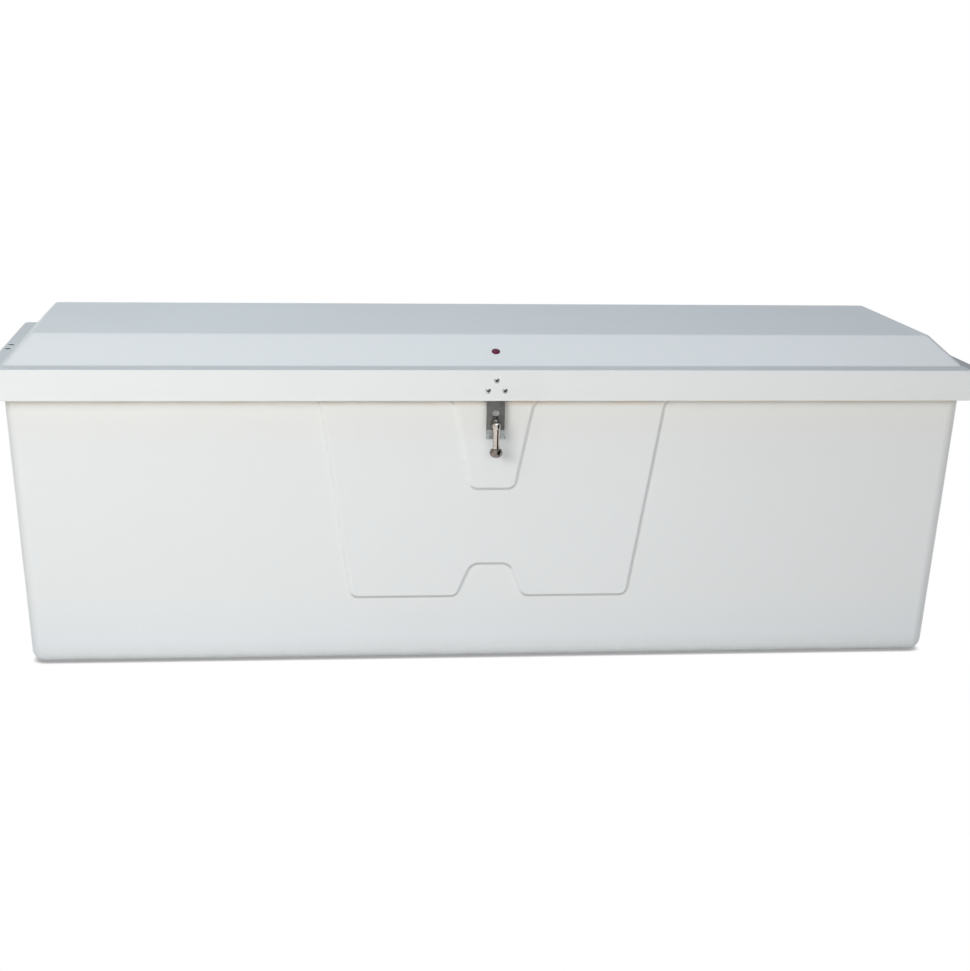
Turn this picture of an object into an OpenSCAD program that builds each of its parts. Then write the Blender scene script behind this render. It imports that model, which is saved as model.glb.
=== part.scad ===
// Dock box: a drafted fibreglass tub with a hip-roofed lid, a full-length rear hinge,
// two gas springs and a turn latch on a stepped front panel.
// The origin is on the ground at the middle of the lid's outline. The front faces -Y.

/* [Lid] */
// Length of the box over the lid's lip
box_len = 1854; // [1500:1:2200]
// Depth of the box over the lid's lip, front to back
box_depth = 626; // [560:1:760]
// Height of the lip's lower edge above the ground
lip_z = 516; // [450:1:620]
// Height of the lid's lip
lip_h = 58; // [54:1:70]
// Corner radius of the lip in plan
lip_r = 14; // [10:1:40]
// Rounding of the lip's upper edge
lip_round = 3; // [2:0.5:8]
// Width of the lid's flat ledge in front of and behind its raised middle
ledge_w = 40; // [30:1:50]
// Width of the lid's flat ledge at its two ends
end_ledge_w = 26; // [22:1:50]
// Height of the raised middle above the ledge
rise = 50; // [44:1:70]
// Level run of the lid's front slope
front_run = 84; // [60:1:110]
// Level run of the lid's two end slopes
end_run = 46; // [22:1:56]
// Level run of the lid's rear slope
rear_run = 16; // [12:1:40]
// Corner radius of the raised middle in plan
hip_r = 8; // [5:1:30]
// Width of the soft edge round the flat top
hip_round = 4; // [2:0.5:10]
// Height of the soft edge round the flat top
hip_drop = 1.5; // [1:0.5:4]
// Diameter of the drain holes in the end ledges
drain_d = 12; // [8:0.5:14]
// Distance between the two drain holes of one end
drain_pitch = 52; // [40:1:70]
// Place of the drain holes along the depth, from the middle
drain_y = -36; // [-60:1:60]

/* [Tub] */
// Thickness of the moulded wall of tub and lid
wall = 6; // [5:0.5:8]
// Thickness of the tub's floor
floor_t = 8; // [6:0.5:12]
// Lean of the tub's walls, in degrees
draft = 3.7; // [2.5:0.1:4.5]
// Set-back of the front wall behind the lid's outside, at the lip's lower edge
setback = 36; // [34:1:44]
// Set-back of the two end walls, at the lip's lower edge
end_setback = 29; // [27:1:44]
// Set-back of the rear wall, at the lip's lower edge
rear_setback = 14; // [13:0.5:18]
// Rounding of the tub's lower edges and corners
tub_r = 24; // [16:1:34]
// Thickness of the flange round the tub's mouth
flange_t = 6; // [5:0.5:9]
// Gap between the flange and the inside of the lip
flange_gap = 11; // [10:0.5:13]
// Height of the rubber seal on the flange
seal_h = 6; // [4:0.5:8]
// Width of the rubber seal
seal_w = 12; // [8:1:16]
// Distance of the seal from the flange's edge at the two ends
seal_edge = 1; // [0.5:0.5:3]
// Diameter of the four hold-down holes in the floor
hold_d = 11; // [9:0.5:14]
// Distance between the hold-down holes along the box
hold_len = 1400; // [1000:10:1500]
// Distance between the hold-down holes across the box
hold_depth = 320; // [240:10:400]

/* [Front panel] */
// How far the front panel stands proud of the wall
panel_raise = 8; // [5:0.5:10]
// Level run of the panel's sloping edge
panel_edge = 6; // [3:0.5:9]
// Width of the panel at the lip's lower edge
panel_top_w = 648; // [500:1:800]
// Width of the panel at its lower edge
panel_low_w = 528; // [400:1:640]
// Height of the panel's lower edge above the ground
panel_low_z = 128; // [110:1:180]
// Corner radius of the panel
panel_r = 18; // [10:1:26]
// Width of the panel's notch at its mouth
notch_low_w = 130; // [100:1:170]
// Width of the panel's notch at its head
notch_top_w = 76; // [60:1:96]
// Height of the panel's notch
notch_h = 65; // [45:1:85]
// How far the latch pad stands proud of the panel
pad_raise = 7; // [5:0.5:9]
// Width of the latch pad at the lip's lower edge
pad_top_w = 150; // [130:1:180]
// Width of the latch pad at its lower edge
pad_low_w = 82; // [70:1:110]
// Height of the latch pad's lower edge above the ground
pad_low_z = 343; // [320:1:370]
// Width of the pad's flared head under the lip
pad_head_w = 240; // [210:1:300]

/* [Rear hinge] */
// Number of knuckles, an odd number
knuckle_n = 33; // [21:2:37]
// Length of one knuckle
knuckle_len = 50; // [30:0.5:52]
// Outer radius of the knuckles
knuckle_r = 4.5; // [4:0.1:6]
// Radius of the hinge pin
hinge_pin_r = 2.5; // [2:0.1:3]
// How far the hinge pin stands out of the end knuckles
hinge_pin_out = 1; // [0.5:0.5:3]
// Thickness of the hinge leaves
leaf_t = 2; // [1.5:0.1:2.5]
// Height of each hinge leaf on its wall
leaf_h = 38; // [30:1:46]
// Number of rivets in each hinge leaf
hinge_rivet_n = 9; // [7:1:14]
// How far the hinge axis lies under the lip
hinge_drop = 4; // [3:0.5:6]

/* [Gas springs] */
// Distance of both spring pivots from the hinge axis
spring_arm = 270; // [255:1:290]
// Height of the lid's pivot, as an angle above level seen from the hinge axis
spring_lid_angle = 16; // [14:0.5:17]
// Angle between the two pivots with the lid shut, seen from the hinge axis
spring_spread = 66; // [58:1:70]
// Distance of the springs from the inside of the tub's end walls, at their lower pivots
spring_in = 23.25; // [22:0.25:60]
// Radius of the spring's tube
tube_r = 9; // [7:0.5:10]
// Wall of the spring's tube
tube_wall = 1.5; // [1:0.1:2.5]
// Thickness of the tube's closed foot
tube_cap = 5; // [3:0.5:8]
// Length of the gland that guides the rod
gland_len = 14; // [10:1:20]
// Radius of the spring's rod
rod_r = 4; // [3:0.5:5]
// Gap between the rod's end and the tube's foot with the lid shut
rod_foot_gap = 2; // [1:0.5:6]
// Radius of the eyes at the spring's ends
eye_r = 10; // [9:0.5:11]
// Width of the eyes
eye_w = 12; // [8:1:14]
// Length of the necks between the eyes and the spring
neck_out = 5; // [3:0.5:8]
// How much thicker the necks are than the rod, all round
neck_rim = 1.5; // [1:0.1:2]
// Radius of the pivot studs
stud_r = 5; // [4:0.5:6]
// Rim of the studs' heads round the stud
stud_rim = 3; // [2:0.5:4]
// Thickness of the studs' heads
stud_head_t = 3; // [2:0.5:4]
// Bare rod left showing with the lid shut
rod_show = 10; // [6:1:20]
// Height of the bracket plates
bracket_h = 56; // [48:1:66]
// Width of the bracket plates
bracket_w = 36; // [30:1:40]
// Thickness of the bracket plates
bracket_t = 3; // [2:0.5:4]

/* [Lid ribs] */
// Width of the ribs under the lid
rib_w = 36; // [26:1:46]
// Height of the ribs
rib_h = 50; // [48:1:54]
// Rounding of the ribs' lower edges
rib_r = 8; // [4:1:12]
// Distance of the inner ribs from the middle of the box
rib_x = 272; // [200:1:330]
// Clear length left in front of and behind the ribs
rib_end_gap = 14; // [8:1:30]

/* [Turn latch] */
// Width of the hasp plate's head behind the lip
hasp_head_w = 54; // [48:1:64]
// Gap between the hasp plate's head and the underside of the lid's ledge
hasp_head_gap = 4; // [3:0.5:6]
// Corner radius of the hasp plate's head
hasp_head_r = 6; // [3:0.5:10]
// How far the wide head reaches below the lip's lower edge
hasp_head_drop = 2; // [0:0.5:4]
// Width of the hasp plate's tongue
hasp_w = 34; // [33:1:40]
// Thickness of the hasp plate
hasp_t = 2.5; // [2:0.1:3]
// Depth of the turn latch's axis below the lip's lower edge, where it leaves the tub's wall
latch_drop = 42; // [40:1:46]
// Distance of the sight hole above the keyhole's seat
sight_up = 20; // [18:0.5:21]
// Diameter of the sight hole
sight_d = 13; // [10:0.5:14]
// Diameter of the round seat of the keyhole
seat_d = 19; // [18:0.5:20]
// Width of the keyhole's open throat
throat_w = 10; // [9.6:0.1:11]
// Distance below the keyhole's seat where the prongs flare
flare_down = 10; // [9.5:0.5:13]
// Length of the flared prong ends
flare_len = 18; // [14:1:20]
// Flare of the prong ends, in degrees
flare_angle = 28; // [20:1:32]
// Width of each prong end
prong_w = 9; // [8:0.5:9]
// How far the prong ends stand out beyond the tongue's sides, taken together
prong_out = 1; // [0:0.5:2]
// Gap between the base's boss and the hasp plate
boss_gap = 3; // [2:0.5:5]
// Gap between the hasp plate and the lever's hub
hub_gap = 4.5; // [3:0.5:6]
// Gap between the prong ends and the lever
lever_gap = 1.5; // [1:0.5:3]
// Length of the latch cam across its wide side
cam_len = 17; // [15:0.5:17.5]
// Thickness of the latch cam
cam_w = 9; // [7:0.5:9]
// Radius of the latch shaft
shaft_r = 5; // [4:0.5:5]
// Radius of the lever's hub
hub_r = 8; // [7:0.5:8.4]
// Radius of the lever at its hub
lever_top_r = 6; // [4:0.5:6.5]
// Radius of the lever at its knob
lever_low_r = 7; // [5:0.5:7.5]
// Distance of the knob's middle below the latch axis
lever_len = 50; // [44:1:62]
// Radius of the knob
knob_r = 12; // [10:0.5:13]
// Height of the knob's flat seat above its middle
knob_seat = 7.2; // [6:0.1:8]
// Width of the latch base
base_w = 26; // [24:1:30]
// Thickness of the latch base's foot
base_t = 4; // [3:0.5:5]
// Corner radius of the latch base's foot
base_r = 5; // [3:0.5:8]
// Wall of the base's boss round the shaft
boss_wall = 5; // [4:0.5:6]
// Distance of the base's foot rivets below the latch axis
base_rivet_down = 24; // [22:1:27]
// Distance between the two rivets of the base
base_rivet_pitch = 13; // [12:0.5:15]
// Side to side size of the latch nut
nut_af = 17; // [15:1:19]
// Thickness of the latch nut
nut_t = 6; // [5:0.5:8]
// Radius of the latch washer
washer_r = 13; // [11:0.5:15]
// Thickness of the latch washer
washer_t = 2; // [1:0.5:2.5]
// Length of the shaft's end beyond the nut
shaft_tip = 4; // [2:0.5:6]

/* [Rivets and plug] */
// Radius of the rivet heads
rivet_head_r = 5.2; // [4.5:0.1:5.4]
// Height of the rivet heads
rivet_head_h = 2.4; // [1.5:0.1:3]
// Radius of the rivet shanks
rivet_r = 1.6; // [1.4:0.1:2.6]
// Radius of the upset rivet tails
tail_r = 3.2; // [2.8:0.1:4]
// Height of the upset rivet tails
tail_h = 4; // [3:0.5:4.5]
// Metal left round a rivet head at a plate's edge
rivet_land = 3; // [2:0.5:4]
// Bevel of the lid screws' heads
screw_bevel = 1; // [0.5:0.1:1.5]
// Clear depth left in the ribs beyond the lid screws
screw_tip_gap = 2; // [1:0.5:5]
// Distance between the two lower hasp rivets
hasp_rivet_pitch = 31; // [28:1:38]
// Height of the lower hasp rivets above the lip's lower edge
hasp_rivet_low = 19; // [16:0.5:22]
// Height of the upper hasp rivet above the lower ones
hasp_rivet_step = 19; // [16:0.5:20]
// Diameter of the red plug's head on the lid's front slope
plug_d = 16; // [12:0.5:20]
// Height of the plug's domed head
plug_h = 3; // [2:0.5:4]
// Diameter of the plug's stem
plug_stem_d = 10; // [8:0.5:11]
// Length of the plug's barb behind the lid
plug_barb_len = 3; // [2:0.5:5]
// How far the plug's barb stands out round the stem
plug_barb_rim = 1; // [0.5:0.1:1.5]
// Place of the plug along the lid, from the middle
plug_x = 6; // [-40:1:40]
// Place of the plug up the front slope, as a share of the slope
plug_share = 0.45; // [0.3:0.05:0.7]

/* [Fits] */
// Radial running clearance of pins in their bores
run_gap = 0.06; // [0.03:0.01:0.1]
// Clearance of seated pieces that stay put
seat_gap = 0.1; // [0.05:0.05:0.2]
// Side clearance between moving faces
side_gap = 0.5; // [0.3:0.1:0.8]

/* [Hidden] */

gelcoat = "#e6e9ea";
laminate = "#d9d8cf";
stainless = "#a9adb0";
dark_steel = "#8b8f92";
rubber = "#2b2c2e";
strut_black = "#1d1e20";
plug_red = "#8e1c2c";

// Small sizes shared by the modules
eps = 0.01;
skin = 0.2;
bite = 1;
round_fn = 48;
hull_fn = 32;
lean = tan(draft);
half_len = box_len / 2;
half_depth = box_depth / 2;

// Heights
ledge_z = lip_z + lip_h;
top_z = ledge_z + rise;
lid_under_z = ledge_z - wall;
lid_ceiling_z = top_z - wall;
rim_z = lid_under_z - seal_h - 3 * seat_gap;
band_z = lip_z - hinge_drop;

// Outside of the tub's walls at a height
function tub_half_len(z) = half_len - end_setback + (z - lip_z) * lean;
function tub_front(z) = -(half_depth - setback + (z - lip_z) * lean);
function tub_rear(z) = half_depth - rear_setback + (z - lip_z) * lean;

// The flange's outline
flange_x = half_len - wall - flange_gap;
flange_front = -(half_depth - wall - flange_gap);
flange_r = lip_r - wall / 2;

// How far a sloping wall's inside moves in when it also drops by the wall thickness
function inner_shift(run) = wall * (norm([rise, run]) - run) / rise;

// Hinge axis
hinge_y = half_depth + knuckle_r;
hinge_z = lip_z - hinge_drop;
hinge_len = knuckle_n * knuckle_len;
hinge_rivet_pitch = hinge_len / hinge_rivet_n;

// Gas spring pivots: both lie at the same distance from the hinge axis, so that the
// spring turns at exactly half the lid's rate
spring_low_angle = spring_lid_angle - spring_spread;
lid_pivot = [hinge_y - spring_arm * cos(spring_lid_angle), hinge_z + spring_arm * sin(spring_lid_angle)];
tub_pivot = [hinge_y - spring_arm * cos(spring_low_angle), hinge_z + spring_arm * sin(spring_low_angle)];
spring_shut = 2 * spring_arm * sin(spring_spread / 2);
spring_tilt = atan2(tub_pivot[0] - lid_pivot[0], lid_pivot[1] - tub_pivot[1]);
neck_len = eye_r + neck_out;
neck_r = rod_r + neck_rim;
tube_len = spring_shut - 2 * neck_len - rod_show;
rod_len = tube_len + rod_show - tube_cap - rod_foot_gap;
stud_head_r = stud_r + stud_rim;
bracket_x = tub_half_len(tub_pivot[1]) - wall / cos(draft) - seat_gap;
spring_x = bracket_x - spring_in;
bracket_rivet_pitch = bracket_h - 2 * (rivet_head_r + rivet_land);
end_rib_x = spring_x - tube_r - 3 * side_gap - bracket_t - seat_gap - rib_w / 2;

// Front face: heights along the slope are counted from the lip's lower edge
function up_front(z) = (z - lip_z) / cos(draft);
pad_face = panel_raise + pad_raise;
latch_z = lip_z - latch_drop;
latch_up = up_front(latch_z);
latch_y = tub_front(latch_z);
hasp_back = -(half_depth - wall - hasp_t - seat_gap);
// Distance of the hasp plate's two faces from the wall, along the latch axis
hasp_in = (latch_y - hasp_back) * cos(draft);
hasp_out = hasp_in + hasp_t;
// Height where the latch axis passes the middle of the hasp plate
seat_z = latch_z - (hasp_in + hasp_t / 2) * sin(draft);
boss_r = shaft_r + boss_wall;
boss_top = hasp_in - boss_gap;
hub_back = hasp_out + hub_gap;
flare_out = (flare_len + hasp_t) * sin(flare_angle) + (flare_down + flare_len) * lean;
lever_out = hasp_out + flare_out + lever_low_r + lever_gap;
spigot_r = lever_low_r / 2;
pad_inner = pad_face - wall;
plug_slope = atan2(rise, front_run);

// Plan outline with round corners, from exact squares and circles
module plan(x0, x1, y0, y1, r) {
    translate([x0 + r, y0]) square([x1 - x0 - 2 * r, y1 - y0]);
    translate([x0, y0 + r]) square([x1 - x0, y1 - y0 - 2 * r]);
    for (x = [x0 + r, x1 - r], y = [y0 + r, y1 - r])
        translate([x, y]) circle(r, $fn = round_fn);
}

// Thin slab of the same outline, as a section for a hull
module slab(x, y0, y1, r, z) {
    for (sx = [-1, 1], y = [y0 + r, y1 - r])
        translate([sx * (x - r), y, z - skin]) cylinder(h = skin, r = r, $fn = hull_fn);
}

// Drafted tub, drawn in from the outside by a set amount
module tub(inset, z_low, r, z_top) {
    zc = z_low + r;
    side = inset + r / cos(draft);
    hull() {
        for (sx = [-1, 1], y = [tub_front(zc) + side, tub_rear(zc) - side])
            translate([sx * (tub_half_len(zc) - side), y, zc]) {
                sphere(r, $fn = hull_fn);
                translate([0, 0, -r]) cylinder(h = skin, r = r / 4, $fn = hull_fn);
            }
        slab(tub_half_len(z_top) - inset, tub_front(z_top) + inset, tub_rear(z_top) - inset, r, z_top);
    }
}

// Places its children on the front wall: X along the box, Y up the slope from the
// lip's lower edge, Z out of the wall
module on_front() {
    translate([0, tub_front(lip_z), lip_z]) rotate([90 + draft, 0, 0]) children();
}

// Places its children on the outside of the rear wall, Z out of the wall
module on_rear() {
    translate([0, tub_rear(lip_z), lip_z]) rotate([90 + draft, 0, 180]) children();
}

// Trapezoid standing on its short side, with a wide head that runs up behind the lip
module tapered_outline(top_w, low_w, low_z, head_w, head_z) {
    up = up_front(rim_z - flange_t);
    polygon([[-low_w / 2, up_front(low_z)], [low_w / 2, up_front(low_z)], [top_w / 2, 0],
        [top_w / 2, up], [-top_w / 2, up], [-top_w / 2, 0]]);
    translate([-head_w / 2, up_front(head_z)]) square([head_w, up - up_front(head_z)]);
}

// Rounds both the outer and the inner corners of an outline
module soften(r) {
    offset(r = -r, $fn = hull_fn) offset(r = 2 * r, $fn = hull_fn) offset(delta = -r) children();
}

module panel_outline() {
    head_w = 2 * tub_half_len(lip_z) - 4 * tub_r;
    mouth = up_front(panel_low_z) - eps;
    crown = up_front(panel_low_z + notch_h);
    soften(panel_r) difference() {
        tapered_outline(panel_top_w, panel_low_w, panel_low_z, head_w, band_z);
        polygon([[-notch_low_w / 2, mouth], [notch_low_w / 2, mouth],
            [notch_top_w / 2, crown], [-notch_top_w / 2, crown]]);
    }
}

module pad_outline() {
    soften(panel_r) tapered_outline(pad_top_w, pad_low_w, pad_low_z, pad_head_w, band_z);
}

// Raised field with sloping edges, rooted a little way into the face under it
module raised(raise) {
    minkowski() {
        translate([0, 0, -skin]) linear_extrude(2 * skin) offset(delta = -panel_edge / 2) children();
        cylinder(h = raise - skin, r1 = panel_edge, r2 = 0, $fn = 16);
    }
}

// Rivet with its head on top of Z = 0 and its tail under the grip
module rivet(grip) {
    dome_r = (rivet_head_r * rivet_head_r + rivet_head_h * rivet_head_h) / (2 * rivet_head_h);
    intersection() {
        translate([0, 0, rivet_head_h - dome_r]) sphere(dome_r, $fn = round_fn);
        cylinder(h = rivet_head_h, r = rivet_head_r, $fn = round_fn);
    }
    translate([0, 0, -grip - seat_gap]) cylinder(h = grip + seat_gap + eps, r = rivet_r, $fn = round_fn);
    translate([0, 0, -grip - seat_gap - tail_h]) cylinder(h = tail_h, r = tail_r, $fn = round_fn);
}

// Hole for a rivet's shank, going both ways from Z = 0
module rivet_hole(depth) {
    translate([0, 0, -depth]) cylinder(h = 2 * depth, r = rivet_r + seat_gap, $fn = round_fn);
}

// Rivet patterns, each with Z out of the riveted face
module at_hasp_rivets() {
    translate([0, -half_depth, lip_z + hasp_rivet_low]) rotate([90, 0, 0]) {
        for (sx = [-1, 1]) translate([sx * hasp_rivet_pitch / 2, 0, 0]) children();
        translate([0, hasp_rivet_step, 0]) children();
    }
}

module at_hinge_rivets() {
    for (i = [0 : hinge_rivet_n - 1])
        translate([(i + 0.5) * hinge_rivet_pitch - hinge_len / 2, 0, 0]) children();
}

module at_lid_hinge_rivets() {
    translate([0, half_depth + leaf_t + seat_gap, lip_z + leaf_h / 2 + hinge_drop])
        rotate([-90, 0, 0]) at_hinge_rivets() children();
}

module at_body_hinge_rivets() {
    on_rear() translate([0, -leaf_h / 2 - 2 * hinge_drop, leaf_t + seat_gap]) at_hinge_rivets() children();
}

module at_spring_rivets(side) {
    translate([side * bracket_x, tub_pivot[0], tub_pivot[1]]) rotate([0, -side * (90 - draft), 0])
        for (s = [-1, 1]) translate([s * bracket_rivet_pitch / 2, 0, bracket_t]) children();
}

module at_lid_screws(side) {
    translate([side * (end_rib_x + rib_w / 2 + bracket_t + seat_gap), lid_pivot[0], lid_pivot[1]])
        rotate([0, side * 90, 0])
            for (s = [-1, 1]) translate([0, s * bracket_rivet_pitch / 2, 0]) children();
}

module at_latch_rivets() {
    on_front() for (s = [-1, 1])
        translate([s * base_rivet_pitch / 2, latch_up - base_rivet_down, pad_face + base_t + seat_gap])
            children();
}

module at_latch() {
    on_front() translate([0, latch_up, 0]) children();
}

module at_plug() {
    translate([plug_x, -half_depth + ledge_w + plug_share * front_run, ledge_z + plug_share * rise])
        rotate([plug_slope, 0, 0]) children();
}

module body_shell() {
    color(gelcoat) difference() {
        union() {
            tub(0, 0, tub_r, rim_z);
            translate([0, 0, rim_z - flange_t]) linear_extrude(flange_t)
                plan(-flange_x, flange_x, flange_front, tub_rear(rim_z), flange_r);
            translate([0, 0, band_z]) linear_extrude(rim_z - band_z - flange_t / 2)
                plan(-tub_half_len(lip_z) - panel_raise, tub_half_len(lip_z) + panel_raise,
                    tub_front(lip_z) - panel_raise, tub_rear(lip_z) - wall / 2, tub_r);
            on_front() raised(panel_raise) panel_outline();
            on_front() translate([0, 0, panel_raise]) raised(pad_raise) pad_outline();
        }
        tub(wall, floor_t, tub_r - wall, rim_z + skin);
        on_front() translate([0, 0, -2 * wall]) linear_extrude(2 * wall + panel_raise - wall)
            offset(delta = -panel_edge / 2 - wall) intersection() {
                panel_outline();
                translate([-panel_top_w / 2, up_front(0)])
                    square([panel_top_w, up_front(band_z) - up_front(0)]);
            }
        on_front() translate([0, 0, -2 * wall]) linear_extrude(2 * wall + pad_inner)
            offset(delta = -panel_edge / 2 - wall) intersection() {
                pad_outline();
                translate([-pad_top_w, up_front(0)])
                    square([2 * pad_top_w, up_front(band_z) - up_front(0)]);
            }
        at_latch() cylinder(h = 4 * pad_face, r = shaft_r + side_gap, center = true, $fn = round_fn);
        at_latch_rivets() rivet_hole(4 * wall);
        at_body_hinge_rivets() rivet_hole(3 * wall);
        for (side = [-1, 1]) at_spring_rivets(side) rivet_hole(4 * wall);
        for (sx = [-1, 1], sy = [-1, 1])
            translate([sx * hold_len / 2, sy * hold_depth / 2, 0])
                cylinder(h = 4 * floor_t, d = hold_d, center = true, $fn = round_fn);
    }
}

module rim_seal() {
    in_x = flange_x - seal_edge - seal_w;
    in_front = tub_front(rim_z) + wall - seat_gap;
    rear = tub_rear(rim_z);
    color(rubber) translate([0, 0, rim_z + seat_gap]) linear_extrude(seal_h) difference() {
        plan(-in_x - seal_w, in_x + seal_w, in_front - seal_w, rear - seat_gap, tub_r);
        plan(-in_x, in_x, in_front, rear - wall + seat_gap, tub_r - wall);
    }
}

// Raised middle of the lid, or its hollow when drop is the wall thickness
module hip(drop, soft) {
    grow = drop > 0 ? 1 : 0;
    fs = grow * inner_shift(front_run);
    es = grow * inner_shift(end_run);
    rs = grow * inner_shift(rear_run);
    r = hip_r - drop / 2;
    hull() {
        for (step = [[0, 0], [1 - hip_drop / rise, 0], [1, soft]]) {
            up = step[0];
            in = step[1];
            slab(half_len - end_ledge_w - es - end_run * up - in,
                -half_depth + ledge_w + fs + front_run * up + in,
                half_depth - ledge_w - rs - rear_run * up - in,
                r, ledge_z - drop + rise * up);
        }
    }
}

module lid_shell() {
    drain_x = half_len - wall - drain_d / 2 - side_gap;
    color(gelcoat) difference() {
        union() {
            hull() {
                slab(half_len, -half_depth, half_depth, lip_r, lip_z + skin);
                for (a = [0, 30, 60, 90])
                    slab(half_len - lip_round * (1 - cos(a)), -half_depth + lip_round * (1 - cos(a)),
                        half_depth - lip_round * (1 - cos(a)), lip_r - lip_round * (1 - cos(a)),
                        ledge_z - lip_round * (1 - sin(a)));
            }
            hip(0, hip_round);
        }
        translate([0, 0, lip_z - bite]) linear_extrude(lip_h - wall + bite)
            plan(-half_len + wall, half_len - wall, -half_depth + wall, half_depth - wall, lip_r - wall);
        hip(wall, hip_round);
        at_hasp_rivets() rivet_hole(3 * wall);
        at_lid_hinge_rivets() rivet_hole(3 * wall);
        at_plug() cylinder(h = 6 * wall, d = plug_stem_d + 2 * seat_gap, center = true, $fn = round_fn);
        for (sx = [-1, 1], s = [-1, 1])
            translate([sx * drain_x, drain_y + s * drain_pitch / 2, ledge_z])
                cylinder(h = 4 * wall, d = drain_d, center = true, $fn = round_fn);
    }
}

// Rib under the lid, a stringer with rounded lower edges laid up against the ceiling
module rib(x) {
    y0 = -half_depth + ledge_w + front_run + inner_shift(front_run) + rib_end_gap;
    y1 = half_depth - ledge_w - rear_run - inner_shift(rear_run) - rib_end_gap;
    z1 = lid_ceiling_z - seat_gap;
    color(laminate) translate([x, y1, z1 - rib_h]) rotate([90, 0, 0]) linear_extrude(y1 - y0) {
        translate([-rib_w / 2, rib_r]) square([rib_w, rib_h - rib_r]);
        translate([-rib_w / 2 + rib_r, 0]) square([rib_w - 2 * rib_r, rib_h]);
        for (s = [-1, 1]) translate([s * (rib_w / 2 - rib_r), rib_r]) circle(rib_r, $fn = round_fn);
    }
}

module drilled_rib(side) {
    difference() {
        rib(side * end_rib_x);
        at_lid_screws(side) rivet_hole(rib_w / 2);
    }
}

module rib_left() { drilled_rib(-1); }
module rib_mid_left() { rib(-rib_x); }
module rib_mid_right() { rib(rib_x); }
module rib_right() { drilled_rib(1); }

// Every second knuckle, with the tab that joins it to its leaf
module knuckles(first) {
    for (i = [first : 2 : knuckle_n - 1])
        translate([i * knuckle_len - hinge_len / 2 + side_gap / 2, hinge_y, hinge_z]) {
            rotate([0, 90, 0]) cylinder(h = knuckle_len - side_gap, r = knuckle_r, $fn = round_fn);
            children();
        }
}

module hinge_bore() {
    translate([-hinge_len, hinge_y, hinge_z]) rotate([0, 90, 0])
        cylinder(h = 2 * hinge_len, r = hinge_pin_r + run_gap, $fn = round_fn);
}

module hinge_lid_leaf() {
    leaf_low = hinge_z + knuckle_r + side_gap;
    color(stainless) difference() {
        union() {
            translate([-hinge_len / 2, half_depth + seat_gap, leaf_low])
                cube([hinge_len, leaf_t, lip_z + leaf_h - leaf_low]);
            knuckles(1) translate([0, -knuckle_r + seat_gap, 0])
                cube([knuckle_len - side_gap, leaf_t, leaf_low - hinge_z + eps]);
        }
        hinge_bore();
        at_lid_hinge_rivets() rivet_hole(3 * leaf_t);
    }
}

module hinge_body_leaf() {
    web_z = hinge_z - knuckle_r;
    web_y = tub_rear(web_z + leaf_t);
    color(stainless) difference() {
        union() {
            translate([-hinge_len / 2, web_y + seat_gap, web_z])
                cube([hinge_len, half_depth - side_gap - web_y - seat_gap, leaf_t]);
            intersection() {
                on_rear() translate([-hinge_len / 2, -leaf_h - 2 * hinge_drop, seat_gap])
                    cube([hinge_len, leaf_h + 2 * hinge_drop, leaf_t]);
                translate([-hinge_len, 0, 0]) cube([2 * hinge_len, box_depth, web_z + leaf_t]);
            }
            knuckles(0) translate([0, -knuckle_r - side_gap - eps, -knuckle_r])
                cube([knuckle_len - side_gap, knuckle_r + side_gap, leaf_t]);
        }
        hinge_bore();
        at_body_hinge_rivets() rivet_hole(3 * leaf_t);
    }
}

module hinge_pin() {
    color(dark_steel) translate([-hinge_len / 2 - hinge_pin_out, hinge_y, hinge_z]) rotate([0, 90, 0])
        cylinder(h = hinge_len + 2 * hinge_pin_out, r = hinge_pin_r, $fn = round_fn);
}

module hinge_body_rivets() {
    color(dark_steel) at_body_hinge_rivets() rivet(leaf_t + wall + seat_gap);
}

module hinge_lid_rivets() {
    color(dark_steel) at_lid_hinge_rivets() rivet(leaf_t + wall + seat_gap);
}

// Pivot stud of a gas spring, along X from the plate at x0 through the eye
module pivot_stud(side, x0, out) {
    eye_far = spring_x + out * (eye_w / 2 + side_gap);
    eye_near = spring_x - out * (eye_w / 2 + side_gap);
    translate([side * (out > 0 ? x0 : eye_far), 0, 0]) rotate([0, side * 90, 0])
        cylinder(h = abs(eye_far - x0), r = stud_r, $fn = round_fn);
    translate([side * (out > 0 ? x0 : eye_near), 0, 0]) rotate([0, side * 90, 0])
        cylinder(h = abs(eye_near - x0), r = stud_head_r, $fn = round_fn);
    translate([side * (out > 0 ? eye_far : eye_far - stud_head_t), 0, 0]) rotate([0, side * 90, 0])
        cylinder(h = stud_head_t, r = stud_head_r, $fn = round_fn);
}

// Bracket on the tub's end wall, square to the drafted wall
module spring_bracket(side) {
    color(stainless) difference() {
        union() {
            translate([side * bracket_x, tub_pivot[0], tub_pivot[1]]) rotate([0, -side * (90 - draft), 0])
                translate([0, 0, bracket_t / 2]) cube([bracket_h, bracket_w, bracket_t], center = true);
            translate([0, tub_pivot[0], tub_pivot[1]]) pivot_stud(side, bracket_x - bracket_t / 2, -1);
        }
        at_spring_rivets(side) rivet_hole(2 * bracket_t);
    }
}

// Bracket on the end rib of the lid
module lid_bracket(side) {
    plate_x = end_rib_x + rib_w / 2 + seat_gap;
    color(stainless) difference() {
        union() {
            translate([side * (plate_x + bracket_t / 2), lid_pivot[0], lid_pivot[1]])
                cube([bracket_t, bracket_h, bracket_w], center = true);
            translate([0, lid_pivot[0], lid_pivot[1]]) pivot_stud(side, plate_x + bracket_t / 2, 1);
        }
        at_lid_screws(side) rivet_hole(2 * bracket_t);
    }
}

module spring_bracket_left() { spring_bracket(-1); }
module spring_bracket_right() { spring_bracket(1); }
module lid_bracket_left() { lid_bracket(-1); }
module lid_bracket_right() { lid_bracket(1); }

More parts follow.
